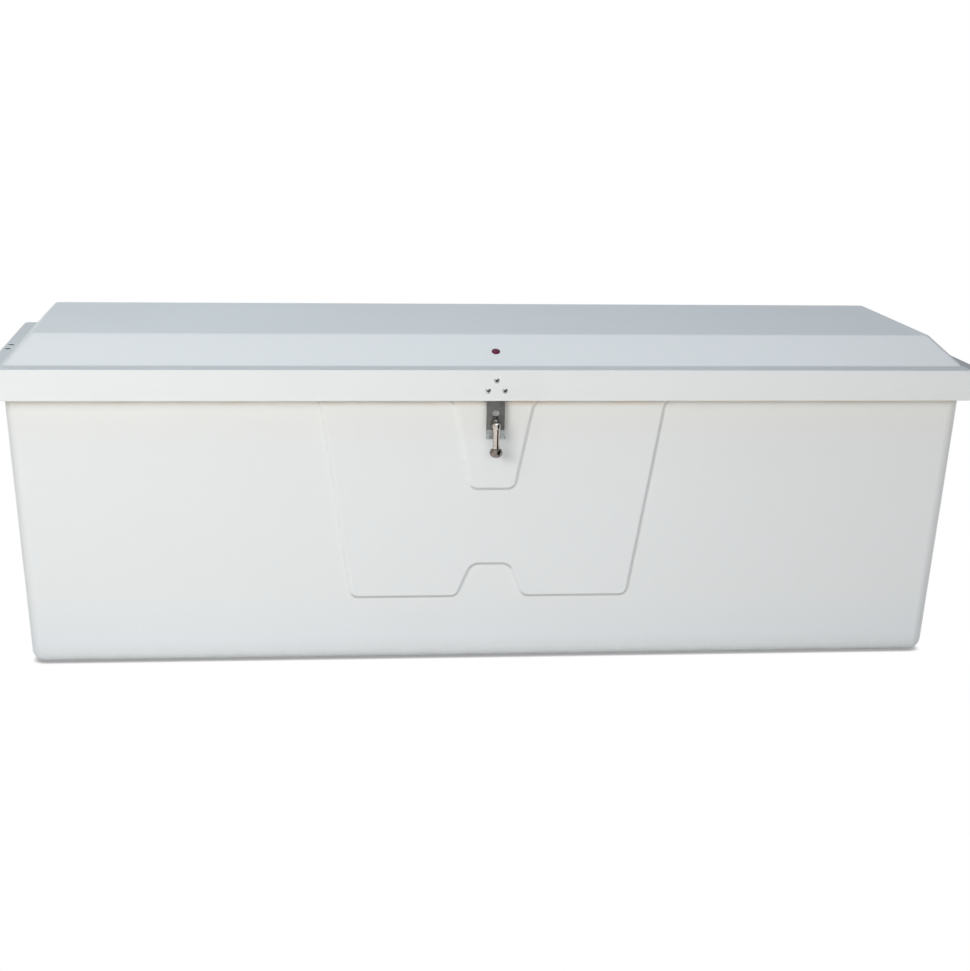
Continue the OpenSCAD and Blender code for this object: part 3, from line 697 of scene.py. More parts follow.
@dataclass(frozen=True)
class Gelcoat(Finish):
    """Glossy white gelcoat: faint mottling, orange peel, specks and ground dust, with painted shade: a cooler
    foot, a streaked painted shadow under the lid's lip, and painted shade on downward faces and on the lid's
    ledge.
    """

    white: Triple = (0.80, 0.805, 0.80)
    shade: Triple = (0.755, 0.768, 0.775)
    warm: Triple = (0.80, 0.78, 0.73)
    # Painted shade: cooler and darker towards the foot of the tub.
    cool: Triple = (0.735, 0.775, 0.81)
    # Painted shadow of the lid's lip, laid on the tub in a streaked band under the lip.
    stain: Triple = (0.70, 0.57, 0.42)
    # Painted shade for faces that turn downwards.
    drip: Triple = (0.46, 0.43, 0.395)
    speck: Triple = (0.45, 0.44, 0.41)
    dust: Triple = (0.52, 0.51, 0.49)
    # Painted shade on the lid's ledge and its left end; the next colour is the hip's painted shadow on its
    # right end.
    silt: Triple = (0.42, 0.43, 0.45)
    grime: Triple = (0.16, 0.16, 0.17)
    mottling: Pattern = (1.3, 1.0, 0.4)
    mottle_share: Band = (0.25, 0.75, 0.0, 0.14)
    warm_share: Band = (0.40, 0.53, 0.0, 0.7)
    cool_share: Band = (0.03, 0.14, 0.45, 0.0)
    streaks: Pattern = (9.0, 4.0, 0.6)
    streak_run: Triple = (1.0, 1.0, 0.2)
    streak_share: Band = (0.3, 0.7, 0.35, 0.70)
    stain_rise: Band = (0.4995, 0.5115, 0.0, 1.0)
    stain_fade: Band = (0.5135, 0.5215, 1.0, 0.12)
    specks: Pattern = (420.0, 2.0, 0.6)
    speck_share: Band = (0.72, 0.80, 0.0, 0.05)
    dusting: Pattern = (36.0, 6.0, 0.7)
    dust_share: Band = (0.0, 0.05, 0.5, 0.0)
    drip_share: Band = (-0.62, -0.34, 0.55, 0.0)
    drip_from: Band = (0.08, 0.11, 0.0, 1.0)
    gutter_z: float = 0.0
    gutter_rise: Station = (-0.0015, -0.0005)
    gutter_fall: Station = (0.0005, 0.003)
    silt_share: Band = (0.2, 0.9, 0.24, 0.46)
    end_from: Station = (0.9005, 0.9040)
    end_shares: Station = (0.34, 0.72)
    gloss: Pattern = (5.0, 2.0, 0.5)
    roughness: Band = (0.25, 0.75, 0.282, 0.31)
    wave: Pattern = (3.0, 1.0, 0.4)
    wave_depth: float = 0.0003
    peel: Pattern = (380.0, 1.0, 0.5)
    peel_depth: float = 0.000002
    ior: float = 1.5

    def wire(self, board: Board) -> None:
        """Wires colour, gloss and relief.

        Args:
            board: the material's board.
        """
        height = board.along("Z")
        colour = board.tint(board.cloud(self.mottling, self.mottle_share), self.white, self.shade)
        colour = board.tint(board.ramp(height, self.warm_share), colour, self.warm)
        # Painted shade towards the foot.
        colour = board.tint(board.ramp(height, self.cool_share), colour, self.cool)
        streak = board.cloud(self.streaks, self.streak_share, board.stretch(self.streak_run))
        # Painted shadow under the lid's lip, broken up by streaks.
        lip = board.times(board.ramp(height, self.stain_rise), board.ramp(height, self.stain_fade))
        colour = board.tint(board.times(lip, streak), colour, self.stain)
        colour = self.drips(board, self.gutters(board, colour, height), height)
        colour = board.tint(board.cloud(self.specks, self.speck_share), colour, self.speck)
        low = board.times(board.ramp(height, self.dust_share), board.noise(self.dusting))
        board.into("Base Color", board.tint(low, colour, self.dust))
        board.into("Roughness", board.cloud(self.gloss, self.roughness))
        wave = board.height(board.noise(self.wave), self.wave_depth)
        board.into("Normal", board.height(board.noise(self.peel), self.peel_depth, wave))
        board.fix("IOR", self.ior)

    def drips(self, board: Board, under: Socket, height: Socket) -> Socket:
        """Paints shade on the faces that turn downwards, such as the undersides of the steps.

        Args:
            board: the material's board.
            under: the colour that it lies on.
            height: the object's Z.

        Returns:
            The colour with the painted shade.
        """
        below = board.ramp(board.along("Z", of="Normal"), self.drip_share)
        return board.tint(board.times(below, board.ramp(height, self.drip_from)), under, self.drip)

    def gutters(self, board: Board, under: Socket, height: Socket) -> Socket:
        """Paints shade on the lid's ledge, stronger towards its right end and on both ends, with the hip's
        painted shadow on the right end.

        Args:
            board: the material's board.
            under: the colour that it lies on.
            height: the object's Z.

        Returns:
            The colour with the painted shade, or the plain colour for a finish without gutters.
        """
        if self.gutter_z <= 0.0:
            return under
        rise, fall = ([self.gutter_z + step for step in steps]
                      for steps in (self.gutter_rise, self.gutter_fall))
        flat = board.times(board.ramp(height, (*rise, 0.0, 1.0)), board.ramp(height, (*fall, 1.0, 0.0)))
        # Painted shade over the ledge, growing towards the right end.
        silt = board.times(board.ramp(board.along("X"), self.silt_share), flat)
        colour = board.tint(silt, under, self.silt)
        for side, share, end_shade in zip(Side, self.end_shares, (self.silt, self.grime)):
            out = board.times(board.along("X"), float(side.value))
            end = board.times(board.ramp(out, (*self.end_from, 0.0, share)), flat)
            colour = board.tint(end, colour, end_shade)
        return colour


@dataclass(frozen=True)
class FlowCoat(Finish):
    """Brushed white flow coat over chopped strands, on the inside of the mouldings."""

    white: Triple = (0.74, 0.745, 0.72)
    strand: Triple = (0.66, 0.665, 0.63)
    strands: Pattern = (150.0, 4.0, 0.7)
    lays: Tuple[Triple, Triple] = ((1.0, 0.22, 0.6), (0.22, 1.0, 0.4))
    strand_share: Band = (0.55, 0.75, 0.0, 0.45)
    patches: Pattern = (5.0, 4.0, 0.6)
    patch_share: Band = (0.35, 0.7, 0.0, 0.8)
    roughness: Band = (0.4, 0.75, 0.42, 0.62)
    depth: float = 0.0012
    ior: float = 1.5

    def wire(self, board: Board) -> None:
        """Wires strand marks, brush drag and relief.

        Args:
            board: the material's board.
        """
        first, second = (board.noise(self.strands, board.stretch(lay)) for lay in self.lays)
        both = board.reckon("MAXIMUM", first, second)
        cloud = board.tint(board.cloud(self.patches, self.patch_share), self.white, self.strand)
        board.into("Base Color", board.tint(board.ramp(both, self.strand_share), cloud, self.strand))
        board.into("Roughness", board.ramp(both, self.roughness))
        board.into("Normal", board.height(both, self.depth))
        board.fix("IOR", self.ior)


@dataclass(frozen=True)
class Laminate(Finish):
    """Woven glass laid over the stringers and painted, with the weave showing through."""

    pale: Triple = (0.72, 0.72, 0.66)
    deep: Triple = (0.58, 0.57, 0.49)
    tow: float = 0.0045
    wander: float = 1.2
    patches: Pattern = (9.0, 4.0, 0.6)
    patch_share: Band = (0.35, 0.7, 0.0, 0.6)
    weave_share: Band = (0.1, 0.9, 0.35, 0.0)
    gloss: Pattern = (40.0, 3.0, 0.5)
    roughness: Band = (0.3, 0.7, 0.45, 0.65)
    depth: float = 0.0006

    def wire(self, board: Board) -> None:
        """Wires the weave of two crossing bands.

        Args:
            board: the material's board.
        """
        bands = [board.add("ShaderNodeTexWave", wave_type="BANDS", bands_direction=way) for way in "XY"]
        for band in bands:
            band.inputs["Scale"].default_value = 1.0 / (self.tow * WAVE_UNIT)
            band.inputs["Distortion"].default_value = self.wander
            board.wire(board.coords, band.inputs["Vector"])
        cross = board.times(*(band.outputs["Fac"] for band in bands))
        patch = board.tint(board.cloud(self.patches, self.patch_share), self.pale, self.deep)
        board.into("Base Color", board.tint(board.ramp(cross, self.weave_share), patch, self.deep))
        board.into("Roughness", board.cloud(self.gloss, self.roughness))
        board.into("Normal", board.height(cross, self.depth))


@dataclass(frozen=True)
class Steel(Finish):
    """Steel with a grain along one axis, dull spots and handling marks."""

    bright: Triple = (0.40, 0.40, 0.40)
    dull: Triple = (0.26, 0.26, 0.255)
    grain: Triple = (14.0, 1.0, 0.5)
    smooth: float = 0.26
    rough: float = 0.42
    depth: float = 0.00002
    lines: Pattern = (160.0, 3.0, 0.6)
    line_share: Band = (0.35, 0.7, 0.0, 0.6)
    spots: Pattern = (55.0, 5.0, 0.65)
    spot_share: Band = (0.42, 0.70, 0.0, 0.75)

    def wire(self, board: Board) -> None:
        """Wires grain, stains and gloss.

        Args:
            board: the material's board.
        """
        lines = board.noise(self.lines, board.stretch(self.grain))
        plain = board.tint(board.ramp(lines, self.line_share), self.bright, self.dull)
        board.into("Base Color", board.tint(board.cloud(self.spots, self.spot_share), plain, self.dull))
        board.into("Roughness", board.ramp(lines, (*MIDDLE, self.smooth, self.rough)))
        board.into("Normal", board.height(lines, self.depth))
        board.fix("Metallic", 1.0)


@dataclass(frozen=True)
class Enamel(Finish):
    """Painted or moulded colour with fine texture and rubbed patches."""

    colour: Triple = (0.018, 0.018, 0.019)
    rubbed: Triple = (0.05, 0.05, 0.05)
    smooth: float = 0.24
    rough: float = 0.42
    texture: Pattern = (900.0, 2.0, 0.5)
    depth: float = 0.00003
    gloss: float = 0.5
    patches: Pattern = (38.0, 5.0, 0.65)
    patch_share: Band = (0.48, 0.72, 0.0, 0.7)
    wear: Pattern = (70.0, 4.0, 0.6)

    def wire(self, board: Board) -> None:
        """Wires rubbed patches and fine relief.

        Args:
            board: the material's board.
        """
        board.fix("Specular IOR Level", self.gloss)
        board.into("Base Color", board.tint(board.cloud(self.patches, self.patch_share),
                                            self.colour, self.rubbed))
        board.into("Roughness", board.cloud(self.wear, (*MIDDLE, self.smooth, self.rough)))
        board.into("Normal", board.height(board.noise(self.texture), self.depth))


EVEN: Triple = (1.0, 1.0, 1.0)
GELCOAT_TUB = Gelcoat("gelcoat_tub")
GELCOAT_LID = Gelcoat("gelcoat_lid", warm=(0.80, 0.80, 0.79), stain_rise=(0.90, 0.95, 0.0, 1.0),
                      stain_fade=(0.952, 0.960, 1.0, 0.12), dust_share=(0.0, 0.001, 0.5, 0.0),
                      drip_share=(-0.62, -0.34, 0.0, 0.0), gutter_z=0.574)
FLOW_COAT = FlowCoat("flow_coat")
LAMINATE = Laminate("woven_laminate")
STAINLESS = Steel("satin_stainless")
DARK_STAINLESS = Steel("weathered_stainless", bright=(0.23, 0.228, 0.218), dull=(0.12, 0.119, 0.113))
RIVET_STEEL = Steel("bright_stainless", bright=(0.66, 0.65, 0.63), dull=(0.46, 0.45, 0.44),
                    grain=EVEN, smooth=0.14, rough=0.28, depth=0.00001)
# Painted light: a lighter steel for the strap's prongs than for the rest of the strap.
LIT_PRONG_STEEL = Steel("worn_prong", bright=(0.50, 0.50, 0.49), dull=(0.27, 0.27, 0.265),
                    grain=EVEN, smooth=0.16, rough=0.30, depth=0.00001)
MANDREL = Steel("broken_mandrel", bright=(0.10, 0.10, 0.10), dull=(0.045, 0.045, 0.045),
                grain=EVEN, smooth=0.35, rough=0.6)
POLISHED = Steel("polished_lever", bright=(0.66, 0.60, 0.55), dull=(0.45, 0.40, 0.36),
                 grain=EVEN, smooth=0.08, rough=0.18, depth=0.00001)
# Painted shade: a darker, browner copy of the lever's polished steel, for the knob.
SHADED_KNOB_STEEL = Steel("worn_ball", bright=(0.30, 0.26, 0.23), dull=(0.14, 0.12, 0.105),
                   grain=EVEN, smooth=0.12, rough=0.30, depth=0.00001)
CHROME = Steel("chromed_rod", bright=(0.66, 0.66, 0.67), dull=(0.55, 0.55, 0.56),
               grain=(1.0, 1.0, 20.0), smooth=0.06, rough=0.14, depth=0.000004)
BLACK = Enamel("strut_enamel")
RUBBER = Enamel("sponge_rubber", colour=(0.022, 0.022, 0.023), rubbed=(0.045, 0.045, 0.045),
                smooth=0.70, rough=0.88, texture=(1600.0, 2.0, 0.5), depth=0.0003)
# Painted shade: near black on the walls of the lid's drain holes.
DRAIN_SHADE = Enamel("drain_grime", colour=(0.045, 0.045, 0.048), rubbed=(0.12, 0.12, 0.12),
                     smooth=0.6, rough=0.85)
RED = Enamel("crimson_plastic", colour=(0.115, 0.002, 0.026), rubbed=(0.15, 0.012, 0.035),
             smooth=0.28, rough=0.40, texture=(700.0, 2.0, 0.5), depth=0.00004, gloss=0.25)


# ---------------------------------------------------------------- shared places

DRAFT = math.radians(3.7)
LEAN = math.tan(DRAFT)
LIP_Z = 0.516
FRONT_Y, REAR_Y = -0.277, 0.299
LATCH_Z = 0.474
END_WALL_X = 0.87825
LOW_PIVOT: Station = (0.143947, 0.305168)
HIGH_PIVOT: Station = (0.057959, 0.586422)
TO_MINUS_Y = Matrix.Rotation(QUARTER, 4, "X")
TO_PLUS_Y = Matrix.Rotation(-QUARTER, 4, "X")
TO_PLUS_X = Matrix.Rotation(QUARTER, 4, "Y")
ON_WALL = Matrix.Rotation(QUARTER + DRAFT, 4, "X")
FRONT = Matrix.Translation((0.0, FRONT_Y, LIP_Z)) @ ON_WALL
REAR = Matrix.Translation((0.0, REAR_Y, LIP_Z)) @ Matrix.Rotation(math.pi, 4, "Z") @ ON_WALL


def up_front(z: float) -> float:
    """Distance up the leaning front from the lip's lower edge to a height."""
    return (z - LIP_Z) / math.cos(DRAFT)


def off_front(point: Vector) -> float:
    """Distance of a point in front of the tub's front wall."""
    return (FRONT.inverted() @ point).z


def end_wall(side: Side) -> Matrix:
    """Frame on the inside of an end wall at a spring's lower pivot, with Z into the tub."""
    return (Matrix.Translation((side.value * END_WALL_X, *LOW_PIVOT))
            @ Matrix.Rotation(-side.value * (QUARTER - DRAFT), 4, "Y"))


LATCH = FRONT @ Matrix.Translation((0.0, up_front(LATCH_Z), 0.0))


# ---------------------------------------------------------------- mouldings

@dataclass(frozen=True)
class FrontField:
    """Sizes of a raised field of the tub's front, or of the hollow behind one.

    Attributes:
        name: name of the piece.
        top_half: half width at the band.
        low_half: half width at the foot.
        low_z: height of the foot.
        base: level that it stands on, off the wall.
        rise: how far it stands out of that level.
        head_half: half width of a head that flares into the band, or 0 for none.
        notch: half mouth, half crown and height of the notch in its foot, or None.
    """

    name: str
    top_half: float
    low_half: float
    low_z: float
    base: float
    rise: float
    head_half: float = 0.0
    notch: Optional[Triple] = None


@dataclass
class Tub:
    """Drafted tub with band, stepped front panel, latch pad, flange and hold-down holes."""

    half_len: float = 0.898
    rim_z: float = 0.5617
    rim_edge: float = 0.0012
    spare: float = 0.004
    band_z: float = 0.512
    band_in: float = 0.003
    flange_low: Station = (-0.910, -0.296)
    flange_high: Station = (0.910, 0.30196)
    flange_t: float = 0.006
    flange_r: float = 0.011
    wall: float = 0.006
    floor_t: float = 0.008
    corner_r: float = 0.024
    panel: FrontField = FrontField("panel", top_half=0.3264, low_half=0.2670, low_z=0.125, base=0.0,
                                   rise=0.008, head_half=0.850, notch=(0.062, 0.035, 0.065))
    pad: FrontField = FrontField("latch_pad", top_half=0.0772, low_half=0.0440, low_z=0.340, base=0.008,
                                 rise=0.007, head_half=0.120)
    hollows: Tuple[FrontField, ...] = (
        FrontField("behind_panel", top_half=0.313, low_half=0.254, low_z=0.139, base=-0.009,
                   rise=0.011, notch=(0.074, 0.047, 0.065)),
        FrontField("behind_pad", top_half=0.065, low_half=0.032, low_z=0.352, base=0.0, rise=0.009))
    field_root: float = 0.010
    field_gap: float = 0.009
    field_r: float = 0.0155
    notch_r: float = 0.012
    edge_run: float = 0.006
    crest: float = 0.0022
    valley: float = 0.0026
    panel_reach: Station = (0.345, 0.10)
    pad_reach: Station = (0.10, 0.33)
    hold_at: Station = (0.700, 0.160)
    hold_r: float = 0.0055
    cut_top: float = 0.03
    shaft_hole_r: float = 0.0055
    heart: Triple = (0.0, 0.011, 0.30)
    inner_off: float = 0.0095

    def drafted(self, name: str, inset: float, low: float, top: float, radius: float) -> Workpiece:
        """Makes a drafted block with rounded sides and bottom.

        Args:
            name: name of the piece.
            inset: how far its walls lie inside the tub's outside.
            low: height of its bottom.
            top: height of its top.
            radius: radius of its edges.

        Returns:
            The block.
        """
        def spread(z: float) -> Triple:
            """Half length, front and rear at a height."""
            out = (z - LIP_Z) * LEAN - inset
            return self.half_len + out, FRONT_Y - out, REAR_Y + out

        x, y0, y1 = spread(top)
        xl, y0l, y1l = spread(low)
        piece = Workpiece.block(name, (-x, y0, low), (x, y1, top))
        piece.pick(Pick.VERT, lambda p, n: p.z < low + TINY)
        piece.resize((xl / x, (y1l - y0l) / (y1 - y0), 1.0), (0.0, (y0 + y1) / 2, low))
        return piece.round_edges(lambda p, d: abs(d.z) > 0.5 or p.z < low + TINY, radius, 9)

    def headed(self, spec: FrontField) -> Workpiece:
        """Draws the outline of a field whose head flares into the band.

        Args:
            spec: the field's sizes.

        Returns:
            The outline at the field's root, with an edge across it at the band.
        """
        band, foot, root = up_front(self.band_z), up_front(spec.low_z), spec.base - self.field_root
        head = spec.head_half
        piece = Workpiece.sheet(spec.name, (-head, band), (head, up_front(self.rim_z - self.spare)), root)
        piece.pick(Pick.EDGE, lambda p, d: abs(p.y - band) < TINY and abs(d.x) > 0.9)
        bpy.ops.mesh.subdivide(number_cuts=2)
        piece.pick(Pick.VERT, lambda p, n: abs(p.y - band) < TINY and abs(p.x) < head / 2)
        # The two cuts left verts at a third of the head's half width.
        piece.resize((3.0 * spec.top_half / head, 1.0, 1.0), (0, band, root))
        piece.pick(Pick.EDGE, lambda p, d: abs(p.y - band) < TINY and abs(p.x) < TINY)
        piece.extrude((0, foot - band, 0))
        piece.resize((spec.low_half / spec.top_half, 1.0, 1.0), (0, foot, root))
        return piece

    def plain(self, spec: FrontField) -> Workpiece:
        """Draws the outline of a field without a head.

        Args:
            spec: the field's sizes.

        Returns:
            The outline at the field's root.
        """
        band, foot, root = up_front(self.band_z), up_front(spec.low_z), spec.base - self.field_root
        half = spec.top_half
        piece = Workpiece.sheet(spec.name, (-half, foot), (half, band - self.field_gap), root)
        piece.pick(Pick.VERT, lambda p, n: abs(p.y - foot) < TINY)
        piece.resize((spec.low_half / half, 1.0, 1.0), (0, foot, root))
        return piece

    def notched(self, piece: Workpiece, spec: FrontField) -> None:
        """Draws the notch into a field's foot and rounds its corners.

        Args:
            piece: the field's outline.
            spec: the field's sizes.
        """
        mouth, crown, height = spec.notch
        foot, root, half = up_front(spec.low_z), spec.base - self.field_root, spec.low_half
        piece.pick(Pick.EDGE, lambda p, d: abs(p.y - foot) < TINY and abs(d.x) > 0.9)
        bpy.ops.mesh.subdivide(number_cuts=4)
        # Four cuts leave verts at 0.6 and 0.2 of the half width, for the mouth and the crown.
        for share, width, near in ((0.6, mouth, 0.1), (0.2, crown, 0.02)):
            piece.pick(Pick.VERT, lambda p, n: abs(p.y - foot) < TINY and abs(abs(p.x) / half - share) < near)
            piece.resize((width / (share * half), 1.0, 1.0), (0, foot, root))
        piece.move((0, height, 0))
        piece.pick(Pick.VERT, at_corners([(mouth, foot), (crown, foot + height)]))
        piece.bevel(self.notch_r, 7, corners=True)

    def field(self, spec: FrontField) -> Workpiece:
        """Makes a raised field of the front as a solid that is rooted in the wall.

        Args:
            spec: its sizes.

        Returns:
            The field, in its place on the front.
        """
        band, has_head = up_front(self.band_z), spec.head_half > 0.0
        piece = self.headed(spec) if has_head else self.plain(spec)
        if spec.notch is not None:
            self.notched(piece, spec)
        rounded = [(spec.low_half, up_front(spec.low_z))]
        if has_head:
            piece.pick(Pick.EDGE, lambda p, d: abs(p.y - band) < TINY and abs(p.x) < TINY)
            bpy.ops.mesh.dissolve_edges(use_verts=False)
            rounded.append((spec.top_half, band))
        piece.pick(Pick.VERT, at_corners(rounded))
        piece.bevel(self.field_r, 8, corners=True)
        piece.pick(Pick.FACE, lambda p, n: True)
        piece.extrude((0, 0, self.field_root))
        piece.pick(Pick.FACE, lambda p, n: abs(p.z - spec.base) < TINY and n.z > 0.9)
        bpy.ops.mesh.inset(thickness=self.edge_run, depth=spec.rise)
        piece.face_out()
        piece.round_edges(at_height(spec.base + spec.rise, level=True), self.crest, 3)
        return piece.place(FRONT)

    def build(self) -> None:
        """Builds the tub, dresses its two sides and delivers it."""
        out, top = self.panel.rise, self.rim_z
        tub = self.drafted("tub_moulding", 0.0, 0.0, top, self.corner_r)
        tub.blend(Workpiece.rounded_block(
            "band", (-self.half_len - out, FRONT_Y - out, self.band_z),
            (self.half_len + out, REAR_Y - self.band_in, top - self.band_in), self.corner_r), Blend.ADD)
        for spec in (self.panel, self.pad):
            tub.blend(self.field(spec), Blend.ADD)
        tub.blend(Workpiece.rounded_block("flange", (*self.flange_low, top - self.flange_t),
                                          (*self.flange_high, top), self.flange_r), Blend.ADD)
        tub.tidy()
        self.ease_steps(tub)
        tub.blend(self.drafted("hollow", self.wall, self.floor_t, top + self.spare,
                               self.corner_r - self.wall), Blend.CUT)
        for spec in self.hollows:
            tub.blend(self.field(spec), Blend.CUT)
        for x in (-self.hold_at[0], self.hold_at[0]):
            for y in (-self.hold_at[1], self.hold_at[1]):
                hole = Workpiece.bar("hole", self.hold_r, -THROUGH, self.cut_top)
                tub.blend(hole.place(Matrix.Translation((x, y, 0))), Blend.CUT)
        hole = Workpiece.bar("shaft_hole", self.shaft_hole_r, 0.0, self.cut_top, 40)
        tub.blend(hole.place(LATCH), Blend.CUT)
        tub.tidy().round_edges(at_height(top, level=True), self.rim_edge, 2)
        tub.shade(28)
        tub.dress(FLOW_COAT, lambda p, n: n.dot(Vector(self.heart) - p) > 0 and self.inside(p))
        tub.deliver(Body.TUB.value, Slot.GELCOAT, GELCOAT_TUB, "body_shell")

    def inside(self, p: Vector) -> bool:
        """Whether a face's middle belongs to the tub's inner side."""
        return self.floor_t - 0.001 < p.z < self.rim_z - 0.0005 and off_front(p) < self.inner_off

    def ease_steps(self, tub: Workpiece) -> None:
        """Rounds the inner corners where the raised fields meet what they stand on.

        Args:
            tub: the tub with its fields.
        """
        out = (FRONT.to_3x3() @ Vector((0, 0, 1))).normalized()
        for spec, (half, low) in ((self.panel, self.panel_reach), (self.pad, self.pad_reach)):
            tub.round_edges(lambda p, d: abs(off_front(p) - spec.base) < 2 * TINY and abs(d.dot(out)) < 0.004
                            and abs(p.x) < half and low < p.z < self.band_z + 0.0005, self.valley, 3)


@dataclass
class Lid:
    """Overhanging lid: straight lip, narrow ledge and a raised hip with a rounded ridge."""

    half_len: float = 0.927
    half_depth: float = 0.313
    ledge_z: float = 0.574
    top_z: float = 0.624
    ledge_w: float = 0.040
    end_ledge_w: float = 0.026
    front_run: float = 0.084
    end_run: float = 0.046
    rear_run: float = 0.016
    lip_r: float = 0.014
    lip_round: float = 0.003
    lip_edge: float = 0.0014
    hip_r: float = 0.008
    hip_ease: float = 0.0045
    hollow_ease: float = 0.003
    hip_root: float = 0.005
    foot_r: float = 0.003
    foot_band: Station = (-0.0072, 0.002)
    wall: float = 0.006
    drain_x: float = 0.9145
    drain_y: Station = (-0.062, -0.010)
    drain_r: float = 0.006
    heart: Triple = (0.0, 0.0, 0.2)

    def hip(self, name: str, drop: float, ease: float) -> Workpiece:
        """Makes the raised middle, or its hollow.

        Args:
            name: name of the piece.
            drop: 0 for the outside, or the wall thickness for the hollow.
            ease: width of the rounding along its upper edges.

        Returns:
            The tapered block, with a short straight root under it.
        """
        rise = self.top_z - self.ledge_z
        inward = [drop * (math.hypot(rise, run) - run) / rise
                  for run in (self.end_run, self.front_run, self.rear_run)]
        x = self.half_len - self.end_ledge_w - inward[0]
        y0 = -self.half_depth + self.ledge_w + inward[1]
        y1 = self.half_depth - self.ledge_w - inward[2]
        low, top = self.ledge_z - drop, self.top_z - drop
        piece = Workpiece.block(name, (-x, y0, low - self.hip_root), (x, y1, low))
        piece.pick(Pick.FACE, lambda p, n: n.z > 0.9)
        piece.extrude((0, 0, rise))
        deep = y1 - y0 - self.front_run - self.rear_run
        piece.resize(((x - self.end_run) / x, deep / (y1 - y0), 1.0), (0, (y0 + y1) / 2, top))
        piece.move((0, (self.front_run - self.rear_run) / 2, 0))
        piece.round_edges(lambda p, d: abs(d.z) > 0.2, self.hip_r - drop / 2, 9)
        return piece.round_edges(at_height(top, level=True), ease, 5)

    def build(self) -> None:
        """Builds the lid, dresses its two sides and delivers it."""
        x, y, skin = self.half_len, self.half_depth, self.wall
        at_ledge = at_height(self.ledge_z, level=True)
        lid = Workpiece.rounded_block("lid_moulding", (-x, -y, LIP_Z), (x, y, self.ledge_z), self.lip_r)
        lid.round_edges(at_height(self.ledge_z), self.lip_round, 5)
        lid.blend(self.hip("hip", 0.0, self.hip_ease), Blend.ADD).tidy()
        within, beyond = self.foot_band
        lid.round_edges(lambda p, d: at_ledge(p, d) and self.on_hip(p, beyond) and not self.on_hip(p, within),
                        self.foot_r, 4)
        lid.blend(Workpiece.rounded_block(
            "lip_hollow", (-x + skin, -y + skin, LIP_Z - OVER), (x - skin, y - skin, self.ledge_z - skin),
            self.lip_r - skin), Blend.CUT)
        lid.blend(self.hip("hip_hollow", skin, self.hollow_ease), Blend.CUT)
        for drain_x in (-self.drain_x, self.drain_x):
            for drain_y in self.drain_y:
                hole = Workpiece.bar("drain", self.drain_r, -THROUGH, THROUGH)
                lid.blend(hole.place(Matrix.Translation((drain_x, drain_y, self.ledge_z))), Blend.CUT)
        lid.tidy().round_edges(at_height(LIP_Z, level=True), self.lip_edge, 3)
        lid.shade(32)
        lid.dress(FLOW_COAT, lambda p, n: n.dot(Vector(self.heart) - p) > 0 and p.z > LIP_Z + 0.0016)
        # The drain holes' walls get painted shade.
        lid.dress(DRAIN_SHADE, lambda p, n: abs(n.z) < 0.3 and self.in_drain(p))
        lid.deliver(Body.LID.value, Slot.GELCOAT, GELCOAT_LID, "lid_shell")

    def in_drain(self, p: Vector) -> bool:
        """Whether a face's middle lies on the wall of a drain hole."""
        reach = self.drain_r + 0.0003
        return any(math.hypot(abs(p.x) - self.drain_x, p.y - y) < reach for y in self.drain_y)

    def on_hip(self, p: Vector, spare: float) -> bool:
        """Whether a point of the ledge's plane lies inside the hip's base line, with some to spare."""
        return (abs(p.x) < self.half_len - self.end_ledge_w + spare
                and abs(p.y) < self.half_depth - self.ledge_w + spare)


@dataclass
class SealStrip:
    """Sponge seal on the tub's flange, with a rounded top."""

    outer: Triple = (0.909, -0.28605, 0.30186)
    outer_r: float = 0.024
    inner: Triple = (0.897, -0.27405, 0.29606)
    inner_r: float = 0.018
    low: float = 0.5618
    high: float = 0.5678
    top_r: float = 0.0024

    def build(self) -> None:
        """Builds the seal and delivers it."""
        x, y0, y1 = self.outer
        seal = Workpiece.rounded_block("seal_strip", (-x, y0, self.low), (x, y1, self.high), self.outer_r)
        x, y0, y1 = self.inner
        seal.blend(Workpiece.rounded_block("gap", (-x, y0, self.low - OVER), (x, y1, self.high + OVER),
                                           self.inner_r), Blend.CUT)
        seal.round_edges(at_height(self.high), self.top_r, 4)
        seal.shade(50).deliver(Body.TUB.value, Slot.RUBBER, RUBBER, "rim_seal")


@dataclass
class Stringers:
    """Four stringers glassed in under the lid's flat top, with tabbing along their upper edges."""

    width: float = 0.036
    low: float = 0.5679
    high: float = 0.6179
    front: float = -0.17335
    rear: float = 0.23862
    foot_r: float = 0.008
    tab: float = 0.026
    tab_t: float = 0.0012
    tab_in: float = 0.002
    edge: float = 0.0009
    places: Tuple[Tuple[str, float, float, float], ...] = (
        ("left", -0.8234, 0.0, 1.0), ("mid_left", -0.272, 1.0, 1.0),
        ("mid_right", 0.272, 1.0, 1.0), ("right", 0.8234, 1.0, 0.0))

    def build(self) -> None:
        """Builds each stringer and delivers it."""
        for word, x, tab_left, tab_right in self.places:
            x0, x1 = x - self.width / 2, x + self.width / 2
            rib = Workpiece.block(f"stringer_{word}", (x0, self.front, self.low), (x1, self.rear, self.high))
            rib.round_edges(lambda p, d: p.z < self.low + TINY, self.foot_r, 5)
            rib.blend(Workpiece.block(
                "tabbing", (x0 - self.tab * tab_left, self.front + self.tab_in, self.high - self.tab_t),
                (x1 + self.tab * tab_right, self.rear - self.tab_in, self.high)), Blend.ADD)
            rib.soften(self.edge).shade(40)
            rib.deliver(Body.LID.value, Slot.LAMINATE, LAMINATE, f"rib_{word}")


# ---------------------------------------------------------------- fasteners

